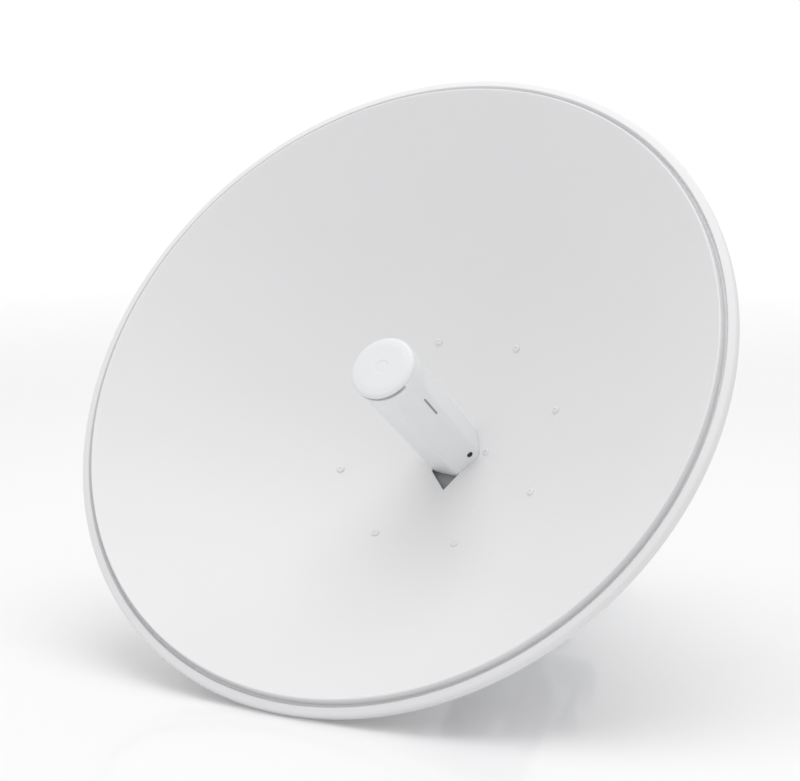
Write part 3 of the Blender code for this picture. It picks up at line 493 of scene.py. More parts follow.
def material(name):
    """The finish of that name, made the first time it is asked for."""
    made = bpy.data.materials.get(name)
    if made is None:
        maker, tint = MAKERS[name]
        made = maker(name, getattr(bpy.context.scene.antenna_finishes, tint))
    return made


def only(obj):
    """Selects this object alone and makes it active."""
    bpy.ops.object.select_all(action="DESELECT")
    obj.select_set(True)
    bpy.context.view_layer.objects.active = obj


@contextmanager
def editing(obj):
    """Edit mode on one object, with nothing selected in it."""
    only(obj)
    bpy.ops.object.mode_set(mode="EDIT")
    bpy.ops.mesh.select_mode(type="VERT")
    bpy.ops.mesh.select_all(action="DESELECT")
    yield
    bpy.ops.object.mode_set(mode="OBJECT")


def pick(obj, kind, wanted):
    """In edit mode, selects the faces or edges that pass the test, and nothing else."""
    bpy.ops.mesh.select_mode(type={"faces": "FACE", "edges": "EDGE"}[kind])
    bpy.ops.mesh.select_all(action="DESELECT")
    bm = bmesh.from_edit_mesh(obj.data)
    for item in getattr(bm, kind):
        if wanted(item):
            item.select_set(True)
    bm.select_flush_mode()
    bmesh.update_edit_mesh(obj.data)


def pick_all():
    bpy.ops.mesh.select_all(action="SELECT")


def extrude(step):
    """In edit mode, extrudes what is selected."""
    bpy.ops.mesh.extrude_region_move(TRANSFORM_OT_translate={"value": step})


def face_outwards():
    """In edit mode, turns every face of a closed solid outwards."""
    pick_all()
    bpy.ops.mesh.normals_make_consistent(inside=False)


def apply_modifier(obj, kind, **settings):
    """Adds a modifier with its settings and applies it."""
    only(obj)
    bpy.ops.object.modifier_add(type=kind)
    modifier = obj.modifiers[-1]
    for name, value in settings.items():
        setattr(modifier, name, value)
    bpy.ops.object.modifier_apply(modifier=modifier.name)


def discard(*objects):
    for obj in objects:
        bpy.data.objects.remove(obj, do_unlink=True)


def combine(operation, obj, *tools):
    """Cuts, joins or crops a solid with others, which are used up."""
    for tool in tools:
        apply_modifier(obj, "BOOLEAN", operation=operation, object=tool, solver="EXACT")
        discard(tool)
    return obj


def cut(obj, *tools):
    return combine("DIFFERENCE", obj, *tools)


def weld(obj, *others):
    return combine("UNION", obj, *others)


def joined(objects):
    """One object that holds the meshes of several."""
    only(objects[0])
    for obj in objects:
        obj.select_set(True)
    bpy.ops.object.join()
    return objects[0]


def moved(obj, matrix=Matrix.Identity(4)):
    """Moves an object and keeps its place in its mesh."""
    obj.matrix_world = matrix @ obj.matrix_world
    only(obj)
    bpy.ops.object.transform_apply(location=True, rotation=True, scale=True)
    return obj


def copy_of(obj, matrix):
    """Another object with a mesh of its own, moved by the matrix."""
    copy = obj.copy()
    copy.data = obj.data.copy()
    bpy.context.scene.collection.objects.link(copy)
    return moved(copy, matrix)


def primitive(kind, **settings):
    """Adds a mesh of this kind, with nothing else selected."""
    bpy.ops.object.select_all(action="DESELECT")
    getattr(bpy.ops.mesh, f"primitive_{kind}_add")(**settings)
    return bpy.context.object


def rounded(points, segments=4):
    """An open outline whose points may carry a third number, the radius that rounds that corner."""
    made = [Vector(points[0][:2])]
    for before, corner, after in zip(points, points[1:], points[2:]):
        here = Vector(corner[:2])
        if len(corner) == 2:
            made.append(here)
            continue
        back = Vector(before[:2]) - here
        ahead = Vector(after[:2]) - here
        half = back.angle(ahead) / 2
        reach = min(corner[2] / math.tan(half), 0.48 * back.length, 0.48 * ahead.length)
        middle = here + (back.normalized() + ahead.normalized()).normalized() * reach / math.cos(half)
        first = here + back.normalized() * reach - middle
        last = here + ahead.normalized() * reach - middle
        made += [middle + first.length * first.slerp(last, i / segments) for i in range(segments + 1)]
    made.append(Vector(points[-1][:2]))
    return [(p.x, p.y) for p in made]


def rounded_loop(points, segments=4):
    """A closed outline, rounded in the same way, without its first point repeated."""
    start = ((points[0][0] + points[-1][0]) / 2, (points[0][1] + points[-1][1]) / 2)
    return rounded([start, *points, start], segments)[:-1]


def raised(points, height):
    """An outline moved along its second axis."""
    return [(point[0], point[1] + height, *point[2:]) for point in points]


def mirrored(lower):
    """A loop from its lower half, mirrored about the first axis."""
    return [*lower, *[(point[0], -point[1], *point[2:]) for point in reversed(lower)]]


def polar(centre, radius, turn):
    return (centre[0] + radius * math.cos(turn), centre[1] + radius * math.sin(turn))


def spaced(first, last, steps):
    return [first + (last - first) * i / steps for i in range(steps + 1)]


def ring(count, start=0.0):
    """Even angles round the axis."""
    return [start + 2 * math.pi * i / count for i in range(count)]


def drawn(points):
    """A wire through 3D points, drawn by extruding one vertex."""
    obj = primitive("plane", size=MM, location=points[0])
    with editing(obj):
        pick_all()
        bpy.ops.mesh.merge(type="CENTER")
        for here, there in zip(points, points[1:]):
            extrude(Vector(there) - Vector(here))
    return moved(obj)


def turned(profile, steps):
    """A solid spun about Z from a profile of (radius, height) points; one off the axis closes on itself."""
    if profile[0][0] > MERGE or profile[-1][0] > MERGE:
        profile = [*profile, profile[0]]
    obj = drawn([(radius, 0, height) for radius, height in profile])
    with editing(obj):
        pick_all()
        bpy.ops.mesh.spin(steps=steps, angle=2 * math.pi, center=(0, 0, 0), axis=(0, 0, 1))
        pick_all()
        bpy.ops.mesh.remove_doubles(threshold=MERGE)
        bpy.ops.mesh.normals_make_consistent(inside=False)
    return obj


def slab(outline, low, high):
    """A flat solid between two heights along Z from a closed outline of (x, y) points."""
    obj = drawn([(x, y, low) for x, y in outline])
    with editing(obj):
        pick_all()
        bpy.ops.mesh.edge_face_add()
        extrude((0, 0, high - low))
        face_outwards()
    return obj


def softened(obj, width, segments=2, angle=40):
    """Rounds every edge that is sharper than the angle."""
    limit = {"limit_method": "ANGLE", "angle_limit": math.radians(angle)}
    apply_modifier(obj, "BEVEL", width=width, segments=segments, use_clamp_overlap=True, **limit)
    return obj


def box_solid(size, centre, edge=0.0, segments=3):
    """A block, with rounded edges if their width is given."""
    obj = moved(primitive("cube", size=1, location=centre, scale=size))
    return softened(obj, edge, segments) if edge else obj


def rod(radius, low, high, sides=32):
    """A round solid along Z."""
    middle = (0, 0, (low + high) / 2)
    return moved(primitive("cylinder", vertices=sides, radius=radius, depth=high - low, location=middle))


def drills(low, high, places, radius=BOLT_HOLE_RADIUS, sides=40):
    """Round cutters for several holes, as one object."""
    return joined([moved(rod(radius, low, high, sides), place) for place in places])


def settled(obj, name, finish, slot, *nodes, angle=35):
    """Gives a finished piece its shading, place, material and part in the frame."""
    only(obj)
    bpy.ops.object.shade_smooth_by_angle(angle=math.radians(angle))
    apply_modifier(obj, "WEIGHTED_NORMAL", keep_sharp=True, weight=80)
    moved(obj, DISH_AXES)
    obj.name = name
    obj.data.name = name
    obj.data.materials.clear()
    obj.data.materials.append(material(finish))
    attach(obj, "root")
    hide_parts(*nodes)


def fastened(obj, name, node):
    """Settles a plated bolt or nut."""
    settled(obj, name, "plated_steel", "zinc_steel", node, angle=30)


def bowl_height(radius):
    """Height of the bowl's front surface above its bottom."""
    return radius * radius / (4 * bpy.context.scene.antenna_dish.focal_length)


def bowl_slope(radius):
    return math.atan(radius / (2 * bpy.context.scene.antenna_dish.focal_length))


def behind_bowl(radius, distance):
    """Height of a surface that follows the bowl at this distance behind its front."""
    return bowl_height(radius) - distance / math.cos(bowl_slope(radius))


def surface_frame(radius, angle):
    """Stands an object on the bowl there, with its Z along the surface's normal."""
    turn = rotation(angle)
    place = Matrix.Translation(turn @ Vector((radius, 0, bowl_height(radius))))
    return place @ turn @ rotation(-bowl_slope(radius), "Y")


def standing(x):
    """Stands an outline drawn as (axis, height) up in the dish's axes, at this distance to the side."""
    return shift(x) @ rotation(-math.pi / 2, "Y")


def lying(y):
    """Lays an outline drawn as (x, axis) across the dish's axes at this height."""
    return shift(0, y) @ rotation(math.pi / 2, "X")


def housing_bolt_places():
    return [shift(*polar((0, 0), HOUSING_BOLT_RING, turn)) for turn in ring(4, math.pi / 4)]


def clamp_bolt_places():
    return [shift(x * CLAMP_BOLT_X, y * JAW_RISE) for y in (1, -1) for x in (-1, 1)]


def hub_screw_places():
    return [surface_frame(HUB_SCREW_RADIUS, turn) for turn in (0, math.pi)]


def rivet_places():
    return [surface_frame(RIVET_RING_RADIUS, turn) for turn in ring(RIVET_COUNT, -math.pi * 3 / 8)]


def feed_flat(z):
    """From the axis to a facet of the feed at this height."""
    feed = bpy.context.scene.antenna_feed
    share = (z - FEED_BOTTOM_Z) / (FEED_TOP_Z - FEED_BOTTOM_Z)
    return feed.flat_base + (feed.flat_top - feed.flat_base) * share


def faceted_outline(z, flat):
    """A filled hexagon with rounded corners and one side facing down, turned as the feed is."""
    half_turn = math.pi / FEED_FACETS
    hexagon = {"vertices": FEED_FACETS, "radius": flat / math.cos(half_turn), "fill_type": "NGON"}
    obj = moved(primitive("circle", location=(0, 0, z), rotation=(0, 0, half_turn + FEED_TURN), **hexagon))
    side = 2 * flat * math.tan(half_turn)
    with editing(obj):
        pick_all()
        offset = bpy.context.scene.antenna_feed.corner * math.tan(half_turn)
        bpy.ops.mesh.bevel(offset=offset, segments=8, affect="VERTICES")
        pick(obj, "edges", lambda edge: edge.calc_length() > side * 0.4)
        bpy.ops.mesh.subdivide(number_cuts=8)
    return obj


def shrink(scale, roundness, z):
    """In edit mode, scales what is selected about the axis and draws it towards a circle."""
    bpy.ops.transform.resize(value=(scale, scale, 1), center_override=(0, 0, z))
    if roundness:
        bpy.ops.transform.tosphere(value=roundness, center_override=(0, 0, z))


def raise_ring(obj, from_z, to_z, scale, roundness=0.0):
    """Extrudes the top face up and scales it."""
    pick(obj, "faces", lambda face: face.calc_center_median().z > from_z - MERGE and abs(face.normal.z) > 0.9)
    extrude((0, 0, to_z - from_z))
    shrink(scale, roundness, to_z)


def mean_radius(obj, z):
    """Mean distance from the axis of the vertices at this height."""
    radii = [v.co.xy.length for v in bmesh.from_edit_mesh(obj.data).verts if abs(v.co.z - z) < 10 * MERGE]
    return sum(radii) / len(radii)


def feed_body():
    """The feed's tube: six rounded facets that melt into a round collar, and a spigot below."""
    feed = bpy.context.scene.antenna_feed
    foot = z = FEED_BOTTOM_Z
    tube = faceted_outline(foot, feed.flat_base)
    with editing(tube):
        for step in spaced(foot, COLLAR_START_Z, TUBE_RINGS)[1:]:
            raise_ring(tube, z, step, feed_flat(step) / feed_flat(z))
            z = step
        start = radius = mean_radius(tube, z)
        blended = 0.0
        for i in range(1, COLLAR_RINGS + 1):
            share = i / COLLAR_RINGS
            blend = share * share * (3 - 2 * share)
            height = COLLAR_START_Z + (COLLAR_FULL_Z - COLLAR_START_Z) * share
            wanted = start + (feed.collar_radius - start) * blend
            towards = 1.0 if i == COLLAR_RINGS else 1 - (1 - blend) / (1 - blended)
            raise_ring(tube, z, height, wanted / radius, towards)
            z, blended, radius = height, blend, wanted
        edge = FEED_TOP_Z - FEED_TOP_EDGE
        raise_ring(tube, z, edge, 1.0)
        raise_ring(tube, edge, FEED_TOP_Z, 1 - FEED_TOP_EDGE / feed.collar_radius)
        pick(tube, "faces", lambda face: face.calc_center_median().z < foot + MERGE and face.normal.z < -0.9)
        extrude((0, 0, 0))
        shrink(SPIGOT_SHRINK, 1.0, foot)
        extrude((0, 0, SPIGOT_END_Z - foot))
        face_outwards()
    return tube


def side_frame(z, offset):
    """A point on the facet that faces down and to the right, with Z out of it and Y along the tube."""
    out = Vector((math.cos(SIDE_FACET), math.sin(SIDE_FACET), 0))
    across = Vector((-math.sin(SIDE_FACET), math.cos(SIDE_FACET), 0))
    origin = out * feed_flat(z) + across * offset + Vector((0, 0, z))
    axes = Matrix((across, Vector((0, 0, 1)), out)).transposed().to_4x4()
    return Matrix.Translation(origin) @ axes


def stadium(half_width, half_length):
    """The outline of a slot with round ends, along Y."""
    straight = half_length - half_width
    top = [(half_width * math.cos(t), straight + half_width * math.sin(t)) for t in spaced(0, math.pi, 8)]
    return top + [(-x, -y) for x, y in top]


def scoop():
    """The shape that cuts the drain opening under the feed's foot into the bowl and the neck behind it."""
    return slab(rounded_loop(SCOOP), -SCOOP_DEPTH, SCOOP_DEPTH)


def cross_recess(reach, width, depth, top):
    """The cross that a screwdriver fits, as one solid."""
    sizes = ((reach, width, 2 * depth), (width, reach, 2 * depth))
    return weld(*[box_solid(size, (0, 0, top)) for size in sizes])


class ANTENNA_OT_reflector(bpy.types.Operator):
    """Spins the pressed bowl with its rolled rim, and cuts the feed's hole and the drain notch"""

    bl_idname = "antenna.reflector"
    bl_label = "Reflector"

    def execute(self, context):
        dish = context.scene.antenna_dish
        hub = spaced(HUB_RADIUS, HUB_RINGS_END, round((HUB_RINGS_END - HUB_RADIUS) / HUB_RING_STEP))
        radii = hub + spaced(HUB_RINGS_END, dish.bowl_edge, BOWL_RINGS)[1:]
        edge, lip, sheet = dish.rim_radius, dish.lip_back, dish.sheet
        front = [(r, bowl_height(r)) for r in radii]
        rim = rounded(
            [
                front[-1],
                *RIM_GROOVE,
                (edge, RIM_BAND_Z, 3.2 * MM),
                (edge, lip, 0.8 * MM),
                (edge - sheet, lip, 0.8 * MM),
                (edge - sheet, RIM_BAND_BACK_Z, 2 * MM),
                *RIM_GROOVE_BACK,
                (dish.bowl_edge, behind_bowl(dish.bowl_edge, sheet)),
            ],
            6,
        )
        back = [(r, behind_bowl(r, sheet)) for r in reversed(radii)]
        bowl = turned(front[:-1] + rim[:-1] + back, BOWL_STEPS)
        hole = faceted_outline(-HUB_HOLE_REACH, context.scene.antenna_feed.flat_base + HUB_HOLE_CLEARANCE)
        with editing(hole):
            pick_all()
            extrude((0, 0, 2 * HUB_HOLE_REACH))
            face_outwards()
        cut(bowl, hole, scoop())
        settled(bowl, "pressed_reflector", "powder_coated_aluminium", "dish_paint", "reflector")
        return {"FINISHED"}


class ANTENNA_OT_rivets(bpy.types.Operator):
    """Turns one blind rivet and copies it round the bowl"""

    bl_idname = "antenna.rivets"
    bl_label = "Rivets"

    def execute(self, context):
        grip = context.scene.antenna_dish.sheet + PLATE + 3 * GAP
        rivet = turned(rounded([*RIVET_HEAD, *raised(RIVET_COLLAR, -grip)]), 40)
        for i, place in enumerate(rivet_places(), 1):
            piece = copy_of(rivet, place)
            settled(piece, f"blind_rivet_{i}", "powder_coated_aluminium", "rivet_metal", f"frame_rivet_{i}")
        discard(rivet)
        return {"FINISHED"}


class ANTENNA_OT_feed(bpy.types.Operator):
    """Raises the feed's tube, cuts its window, latch well and cap slot, and fills them"""

    bl_idname = "antenna.feed"
    bl_label = "Feed"

    def execute(self, context):
        tube = feed_body()
        wide = 3 * context.scene.antenna_feed.cap_radius
        size, middle = (wide, wide, CAP_SLOT_CUT), CAP_SLOT_Z + CAP_SLOT_CUT / 2
        slot = box_solid(size, (0, -CAP_SLOT_DROP - wide / 2, middle))
        opening = stadium(LED_WIDTH / 2 + LED_SEAM, LED_LENGTH / 2 + LED_SEAM)
        window = slab(opening, -LED_DEPTH, LED_DEPTH)
        well = rod(LATCH_RADIUS + GAP, -LATCH_DEPTH, LATCH_DEPTH, 48)
        window_place, latch_place = side_frame(LED_Z, LED_OFFSET), side_frame(LATCH_Z, LATCH_OFFSET)
        cut(tube, slot, moved(window, window_place), moved(well, latch_place))
        settled(tube, "feed_shell", "moulded_asa", "feed_plastic", "feed_tube")

        lens = slab(stadium(LED_WIDTH / 2, LED_LENGTH / 2), INLAY_CLEARANCE - LED_DEPTH, -LED_SEAM)
        moved(softened(lens, 0.25 * MM), window_place)
        settled(lens, "status_window", "smoked_polycarbonate", "dark_lens", "led_window")

        bottom = INLAY_CLEARANCE - LATCH_DEPTH
        button = turned(rounded([*LATCH_FACE, (LATCH_RADIUS, bottom), (0, bottom)]), 48)
        moved(button, latch_place)
        settled(button, "latch_release", "epdm_rubber", "dark_rubber", "latch_button")

        # A rubber gasket in the slot under the cap; its dark colour is partly painted shade, standing for the
        # shadow under the cap's overhang.
        seal = rod(SEAL_RADIUS, CAP_SLOT_Z + GAP, FEED_TOP_Z, 96)
        cut(seal, box_solid(size, (0, wide / 2 - CAP_SLOT_DROP - GAP, middle)))
        settled(seal, "cap_gasket", "epdm_rubber", "dark_rubber", "cap_seal")
        return {"FINISHED"}


class ANTENNA_OT_cap(bpy.types.Operator):
    """Turns the feed's cap with its rounded edge and a plain moulded disc in the middle"""

    bl_idname = "antenna.cap"
    bl_label = "Cap"

    def execute(self, context):
        feed = context.scene.antenna_feed
        radius, face, seat = feed.cap_radius, feed.cap_face, FEED_TOP_Z + GAP
        profile = rounded(
            [
                *raised(CAP_DISC, face),
                (radius - feed.cap_edge, face, 12 * MM),
                (radius - 2.4 * MM, face - 0.8 * MM, 4 * MM),
                (radius, face - 2.8 * MM, 1.6 * MM),
                (radius, seat, 0.4 * MM),
                (radius - 2 * MM, seat),
                (0, seat),
            ],
            8,
        )
        settled(turned(profile, 128), "feed_end_cap", "moulded_asa_cap", "feed_plastic", "feed_cap")
        return {"FINISHED"}


class ANTENNA_OT_hub_screws(bpy.types.Operator):
    """Turns a pan-head screw, cuts its cross recess and puts one on each side of the feed"""

    bl_idname = "antenna.hub_screws"
    bl_label = "Hub screws"

    def execute(self, context):
        end = -context.scene.antenna_dish.sheet - GAP
        screw = turned(rounded([*SCREW_HEAD, (SCREW_HEAD[-1][0], end), (0, end)]), 48)
        cut(screw, cross_recess(3.6 * MM, 0.9 * MM, 0.7 * MM, SCREW_HEAD[0][1]))
        for side, place in zip(("right", "left"), hub_screw_places()):
            piece = copy_of(screw, place)
            settled(piece, f"pan_screw_{side}", "powder_coated_aluminium", "zinc_steel", f"hub_screw_{side}")
        discard(screw)
        return {"FINISHED"}


class ANTENNA_OT_backing(bpy.types.Operator):
    """Spins the hat-shaped backing plate and its bead, and presses a dent across its bend at each rivet"""

    bl_idname = "antenna.backing"
    bl_label = "Backing plate"

    def execute(self, context):
        near = context.scene.antenna_dish.sheet + GAP
        far = near + PLATE
        bore, outer = PLATE_BORE_RADIUS, PLATE_OUTER_RADIUS
        radii = spaced(PLATE_FLANGE_RADIUS + 3 * MM, outer - 2 * MM, 6)
        low, high = PLATE_FLOOR_Z, PLATE_FLOOR_Z + PLATE
        profile = rounded(
            [
                (bore, high - 1 * MM),
                (bore, high, 0.5 * MM),
                *raised(PLATE_BEAD, high),
                (88.6 * MM, high, 3.5 * MM),
                (94.6 * MM, behind_bowl(PLATE_FLANGE_RADIUS - PLATE, near), 3 * MM),
                *[(r, behind_bowl(r, near)) for r in radii],
                (outer, behind_bowl(outer, near), 0.7 * MM),
                (outer + 0.9 * MM, behind_bowl(outer, far), 0.7 * MM),
                *[(r, behind_bowl(r, far)) for r in reversed(radii)],
                (97.4 * MM, behind_bowl(PLATE_FLANGE_RADIUS, far), 3 * MM),
                (92 * MM, low, 6 * MM),
                *raised(reversed(PLATE_BEAD), low),
                (bore, low, 0.5 * MM),
                (bore, low + 1 * MM),
            ],
            5,
        )
        backing = turned(profile, 192)
        ball = primitive("uv_sphere", segments=32, ring_count=16, radius=1)
        dent = moved(ball, Matrix.Diagonal((*DENT_SIZE, 1)))
        lean = shift(DENT_RADIUS, 0, low + DENT_RISE) @ rotation(DENT_LEAN, "Y")
        dents = [copy_of(dent, rotation(turn) @ lean) for turn in ring(RIVET_COUNT, math.pi / RIVET_COUNT)]
        discard(dent)
        holes = drills(-16 * MM, 6 * MM, rivet_places(), 2.8 * MM)
        cut(backing, joined(dents), holes, drills(low - 9 * MM, high + 9 * MM, housing_bolt_places()))
        settled(backing, "hat_plate", "galvanised_sheet", "zinc_steel", "backing_plate", angle=32)
        return {"FINISHED"}


def arc_slot(pivot, arm, start, end, half_width):
    """The outline of a slot along an arc about a pivot, with round ends."""
    turns = spaced(start, end, 20)
    first, last = polar(pivot, arm, start), polar(pivot, arm, end)
    return [
        *[polar(pivot, arm + half_width, turn) for turn in turns],
        *[polar(last, half_width, end + turn) for turn in spaced(0, math.pi, 12)[1:-1]],
        *[polar(pivot, arm - half_width, turn) for turn in reversed(turns)],
        *[polar(first, half_width, start + turn) for turn in spaced(math.pi, 2 * math.pi, 12)[1:-1]],
    ]


class ANTENNA_OT_housing(bpy.types.Operator):
    """Spins the cast housing and joins its ribs, its two slotted cheeks and the boss of its network port"""

    bl_idname = "antenna.housing"
    bl_label = "Rear housing"

    def execute(self, context):
        seat = PLATE_FLOOR_Z - GAP
        foot = seat - HOUSING_FLANGE
        bore = SPIGOT_RADIUS + GAP
        profile = rounded(
            [
                (0, SPIGOT_END_Z - GAP),
                (bore, SPIGOT_END_Z - GAP, 0.5 * MM),
                (bore, HOUSING_FRONT_Z, 0.8 * MM),
                (HOUSING_NECK_RADIUS, HOUSING_FRONT_Z, 1 * MM),
                (HOUSING_NECK_RADIUS, seat, 0.8 * MM),
                (HOUSING_FLANGE_RADIUS, seat, 0.6 * MM),
                (HOUSING_FLANGE_RADIUS, foot, 2.2 * MM),
                (47.4 * MM, foot, 4 * MM),
                *raised(HOUSING_BACK, HOUSING_BACK_Z),
            ],
            6,
        )
        depth = PORT_FRONT_Z - PORT_BACK_Z
        middle = (0, PORT_Y + PORT_HEIGHT / 2, PORT_BACK_Z + depth / 2)
        boss = box_solid((2 * PORT_HALF_X, PORT_HEIGHT, depth), middle, 2.5 * MM, 4)
        housing = weld(turned(profile, 128), self.ribs(foot), self.cheek(-1), self.cheek(1), boss)
        bolts = drills(foot - 18 * MM, seat + 9 * MM, housing_bolt_places())
        spots = drills(foot - 16 * MM, foot - 0.02 * MM, housing_bolt_places(), 9.4 * MM, 64)
        wells = drills(-9 * MM, 6 * MM, hub_screw_places(), 2.3 * MM)
        cut(housing, bolts, spots, wells, scoop())
        settled(housing, "cast_housing", "coated_casting", "grey_casting", "rear_housing", angle=32)
        return {"FINISHED"}

    @staticmethod
    def ribs(foot):
        """The ribs under the flange, without the one where the port's boss stands."""
        top, low = foot + 2 * MM, RIB_END_Z
        corners = [(62 * MM, foot - 2 * MM, 2 * MM), (44 * MM, low, 4 * MM)]
        outline = rounded_loop([(41 * MM, top), (63 * MM, top), *corners, (41 * MM, low)])
        turns = [turn for turn in ring(RIB_COUNT) if abs(turn - math.pi * 3 / 2) > 0.1]
        rib = softened(slab(outline, -RIB / 2, RIB / 2), 0.5 * MM)
        ribs = [copy_of(rib, rotation(turn) @ lying(0)) for turn in turns]
        discard(rib)
        return joined(ribs)

    @staticmethod
    def cheek(sign):
        """A cheek with its pivot hole, its arc slot and the raised marks beside it."""
        half, end = CHEEK_HALF_HEIGHT, CHEEK_END_Z
        foot = (HOUSING_BACK_Z + 6 * MM, -half + 6 * MM)
        lower = [foot, (end + 14 * MM, -half, 8 * MM), (end, -half + 12 * MM, 14 * MM)]
        cheek = softened(slab(rounded_loop(mirrored(lower), 8), -CHEEK / 2, CHEEK / 2), 0.9 * MM, 3)
        pivot = (PIVOT_Z, PIVOT_Y)
        arm = math.hypot(LOCK_Z - PIVOT_Z, LOCK_Y - PIVOT_Y)
        middle = math.atan2(LOCK_Y - PIVOT_Y, LOCK_Z - PIVOT_Z)
        slot = arc_slot(pivot, arm, middle - LOCK_SWEEP, middle + LOCK_SWEEP, BOLT_HOLE_RADIUS)
        cut(cheek, slab(slot, -CHEEK, CHEEK), moved(rod(BOLT_HOLE_RADIUS, -CHEEK, CHEEK, 40), shift(*pivot)))
        marks = []
        for step in range(-MARK_STEPS, MARK_STEPS + 1):
            reach = SHORT_MARK if step % MARK_STEPS else LONG_MARK
            centre = (MARK_RADIUS + reach / 2, 0, -sign * CHEEK / 2)
            mark = box_solid((reach, 0.7 * MM, 1 * MM), centre, 0.2 * MM, 2)
            marks.append(moved(mark, shift(*pivot) @ rotation(middle + LOCK_SWEEP * step / MARK_STEPS)))
        weld(cheek, joined(marks))
        return moved(cheek, standing(sign * (CHEEK_INNER_X + CHEEK / 2)))


class ANTENNA_OT_port(bpy.types.Operator):
    """Covers the network port, fixes the cover with two screws and turns the ribbed grommet in it"""

    bl_idname = "antenna.port"
    bl_label = "Port cover"

    def execute(self, context):
        down = shift(0, PORT_Y, (PORT_FRONT_Z + PORT_BACK_Z) / 2) @ rotation(math.pi / 2, "X")
        cover = box_solid((40 * MM, 26 * MM, PORT_COVER), (0, 0, GAP + PORT_COVER / 2), 1 * MM)
        cut(cover, rod(GROMMET_RADIUS + GAP, -6 * MM, 8 * MM, 64))
        top = GAP + PORT_COVER
        for x in (-PORT_SCREW_X, PORT_SCREW_X):
            head = turned(rounded(raised(PORT_SCREW, top)), 40)
            cut(head, cross_recess(2.8 * MM, 0.7 * MM, 0.6 * MM, top + PORT_SCREW[0][1]))
            weld(cover, moved(head, shift(x)))
        moved(cover, down)
        settled(cover, "port_lid", "coated_casting", "grey_casting", "port_cover")

        lip = PORT_COVER + 2 * GAP
        rim = GROMMET_RADIUS + 2 * MM
        outline = [(0, GAP), (GROMMET_RADIUS, GAP), (GROMMET_RADIUS, lip)]
        outline += [(rim, lip, 0.4 * MM), (rim, lip + 1.8 * MM, 0.7 * MM)]
        for i in range(GROMMET_RIBS):
            radius = (5.3 - 0.4 * i) * MM
            rib = raised(GROMMET_RIB, lip + (1.9 + 1.4 * i) * MM)
            outline += [(radius + point[0], *point[1:]) for point in rib]
        grommet = moved(turned(rounded([*outline, *raised(GROMMET_END, lip)], 3), 64), down)
        settled(grommet, "ribbed_grommet", "epdm_rubber", "dark_rubber", "cable_grommet")
        return {"FINISHED"}


def threaded_end(start, end):
    """A bolt's profile from its tip down the zigzag of its metric thread to the plain shank."""
    points = [(0, end), (BOLT_RADIUS - 0.9 * MM, end)]
    high = end - 0.6 * MM
    for i in range(max(int((high - start) / THREAD_PITCH), 1)):
        z = high - i * THREAD_PITCH
        points += [(BOLT_RADIUS - THREAD_DEPTH, z), (BOLT_RADIUS, z - THREAD_PITCH / 2)]
    return [*points, (BOLT_RADIUS, start - 1 * MM)]


def flanged_hexagon():
    """A hexagon on a flange, standing on Z = 0, with the usual chamfer turned on its top."""
    hexagon = rod(NUT_FLATS / math.sqrt(3), 0.4 * MM, NUT_HEIGHT, 6)
    shoulder = NUT_HEIGHT - 1.7 * MM * math.tan(math.radians(30))
    barrel = [(0, NUT_HEIGHT), (6.2 * MM, NUT_HEIGHT), (7.9 * MM, shoulder), (7.9 * MM, 0), (0, 0)]
    combine("INTERSECT", hexagon, turned(barrel, 96))
    return weld(hexagon, turned(rounded(NUT_FLANGE), 64))


def hex_bolt(seat, end):
    """A flanged hexagon bolt whose head lies below its seat, threaded towards its end."""
    bolt = moved(flanged_hexagon(), shift(0, 0, seat) @ rotation(math.pi, "X"))
    inside = seat - 1 * MM
    shank = [*threaded_end(end - THREAD_LENGTH, end), (BOLT_RADIUS, inside), (0, inside)]
    return weld(bolt, turned(shank, 40))


def hex_nut(seat):
    """A flanged nut above its seat, bored through."""
    bore, top = BOLT_RADIUS + 0.12 * MM, NUT_HEIGHT + 0.2 * MM
    mouth = [(0, -MM), (bore + 0.5 * MM, -MM), (bore + 0.5 * MM, 0), (bore, 0.6 * MM)]
    mouth += [(bore, NUT_HEIGHT - 0.6 * MM), (bore + 0.8 * MM, top), (0, top)]
    return moved(cut(flanged_hexagon(), turned(mouth, 64)), shift(0, 0, seat))


class ANTENNA_OT_housing_bolts(bpy.types.Operator):
    """Bolts the housing to the backing plate"""

    bl_idname = "antenna.housing_bolts"
    bl_label = "Housing bolts"

    def execute(self, context):
        bolt = hex_bolt(PLATE_FLOOR_Z - HOUSING_FLANGE - 2 * GAP, PLATE_FLOOR_Z + PLATE + 4 * MM)
        for i, place in enumerate(housing_bolt_places()):
            piece = copy_of(bolt, place @ rotation(0.35 * i))
            fastened(piece, f"flange_bolt_{i + 1}", f"housing_bolt_{i + 1}")
        discard(bolt)
        return {"FINISHED"}


class ANTENNA_OT_pivot(bpy.types.Operator):
    """Puts the pivot bolt and the locking bolt across the cheeks, with their nuts"""

    bl_idname = "antenna.pivot"
    bl_label = "Pivot and lock"

    def execute(self, context):
        outer = CHEEK_INNER_X + CHEEK + GAP
        for name, y, z, turn in (("pivot", PIVOT_Y, PIVOT_Z, 0.2), ("lock", LOCK_Y, LOCK_Z, 0.7)):
            along = shift(0, y, z) @ rotation(math.pi / 2, "Y") @ rotation(turn)
            fastened(moved(hex_bolt(-outer, outer + BOLT_REACH), along), f"{name}_screw", f"{name}_bolt")
            fastened(moved(hex_nut(outer), along), f"{name}_flange_nut", f"{name}_nut")
        return {"FINISHED"}


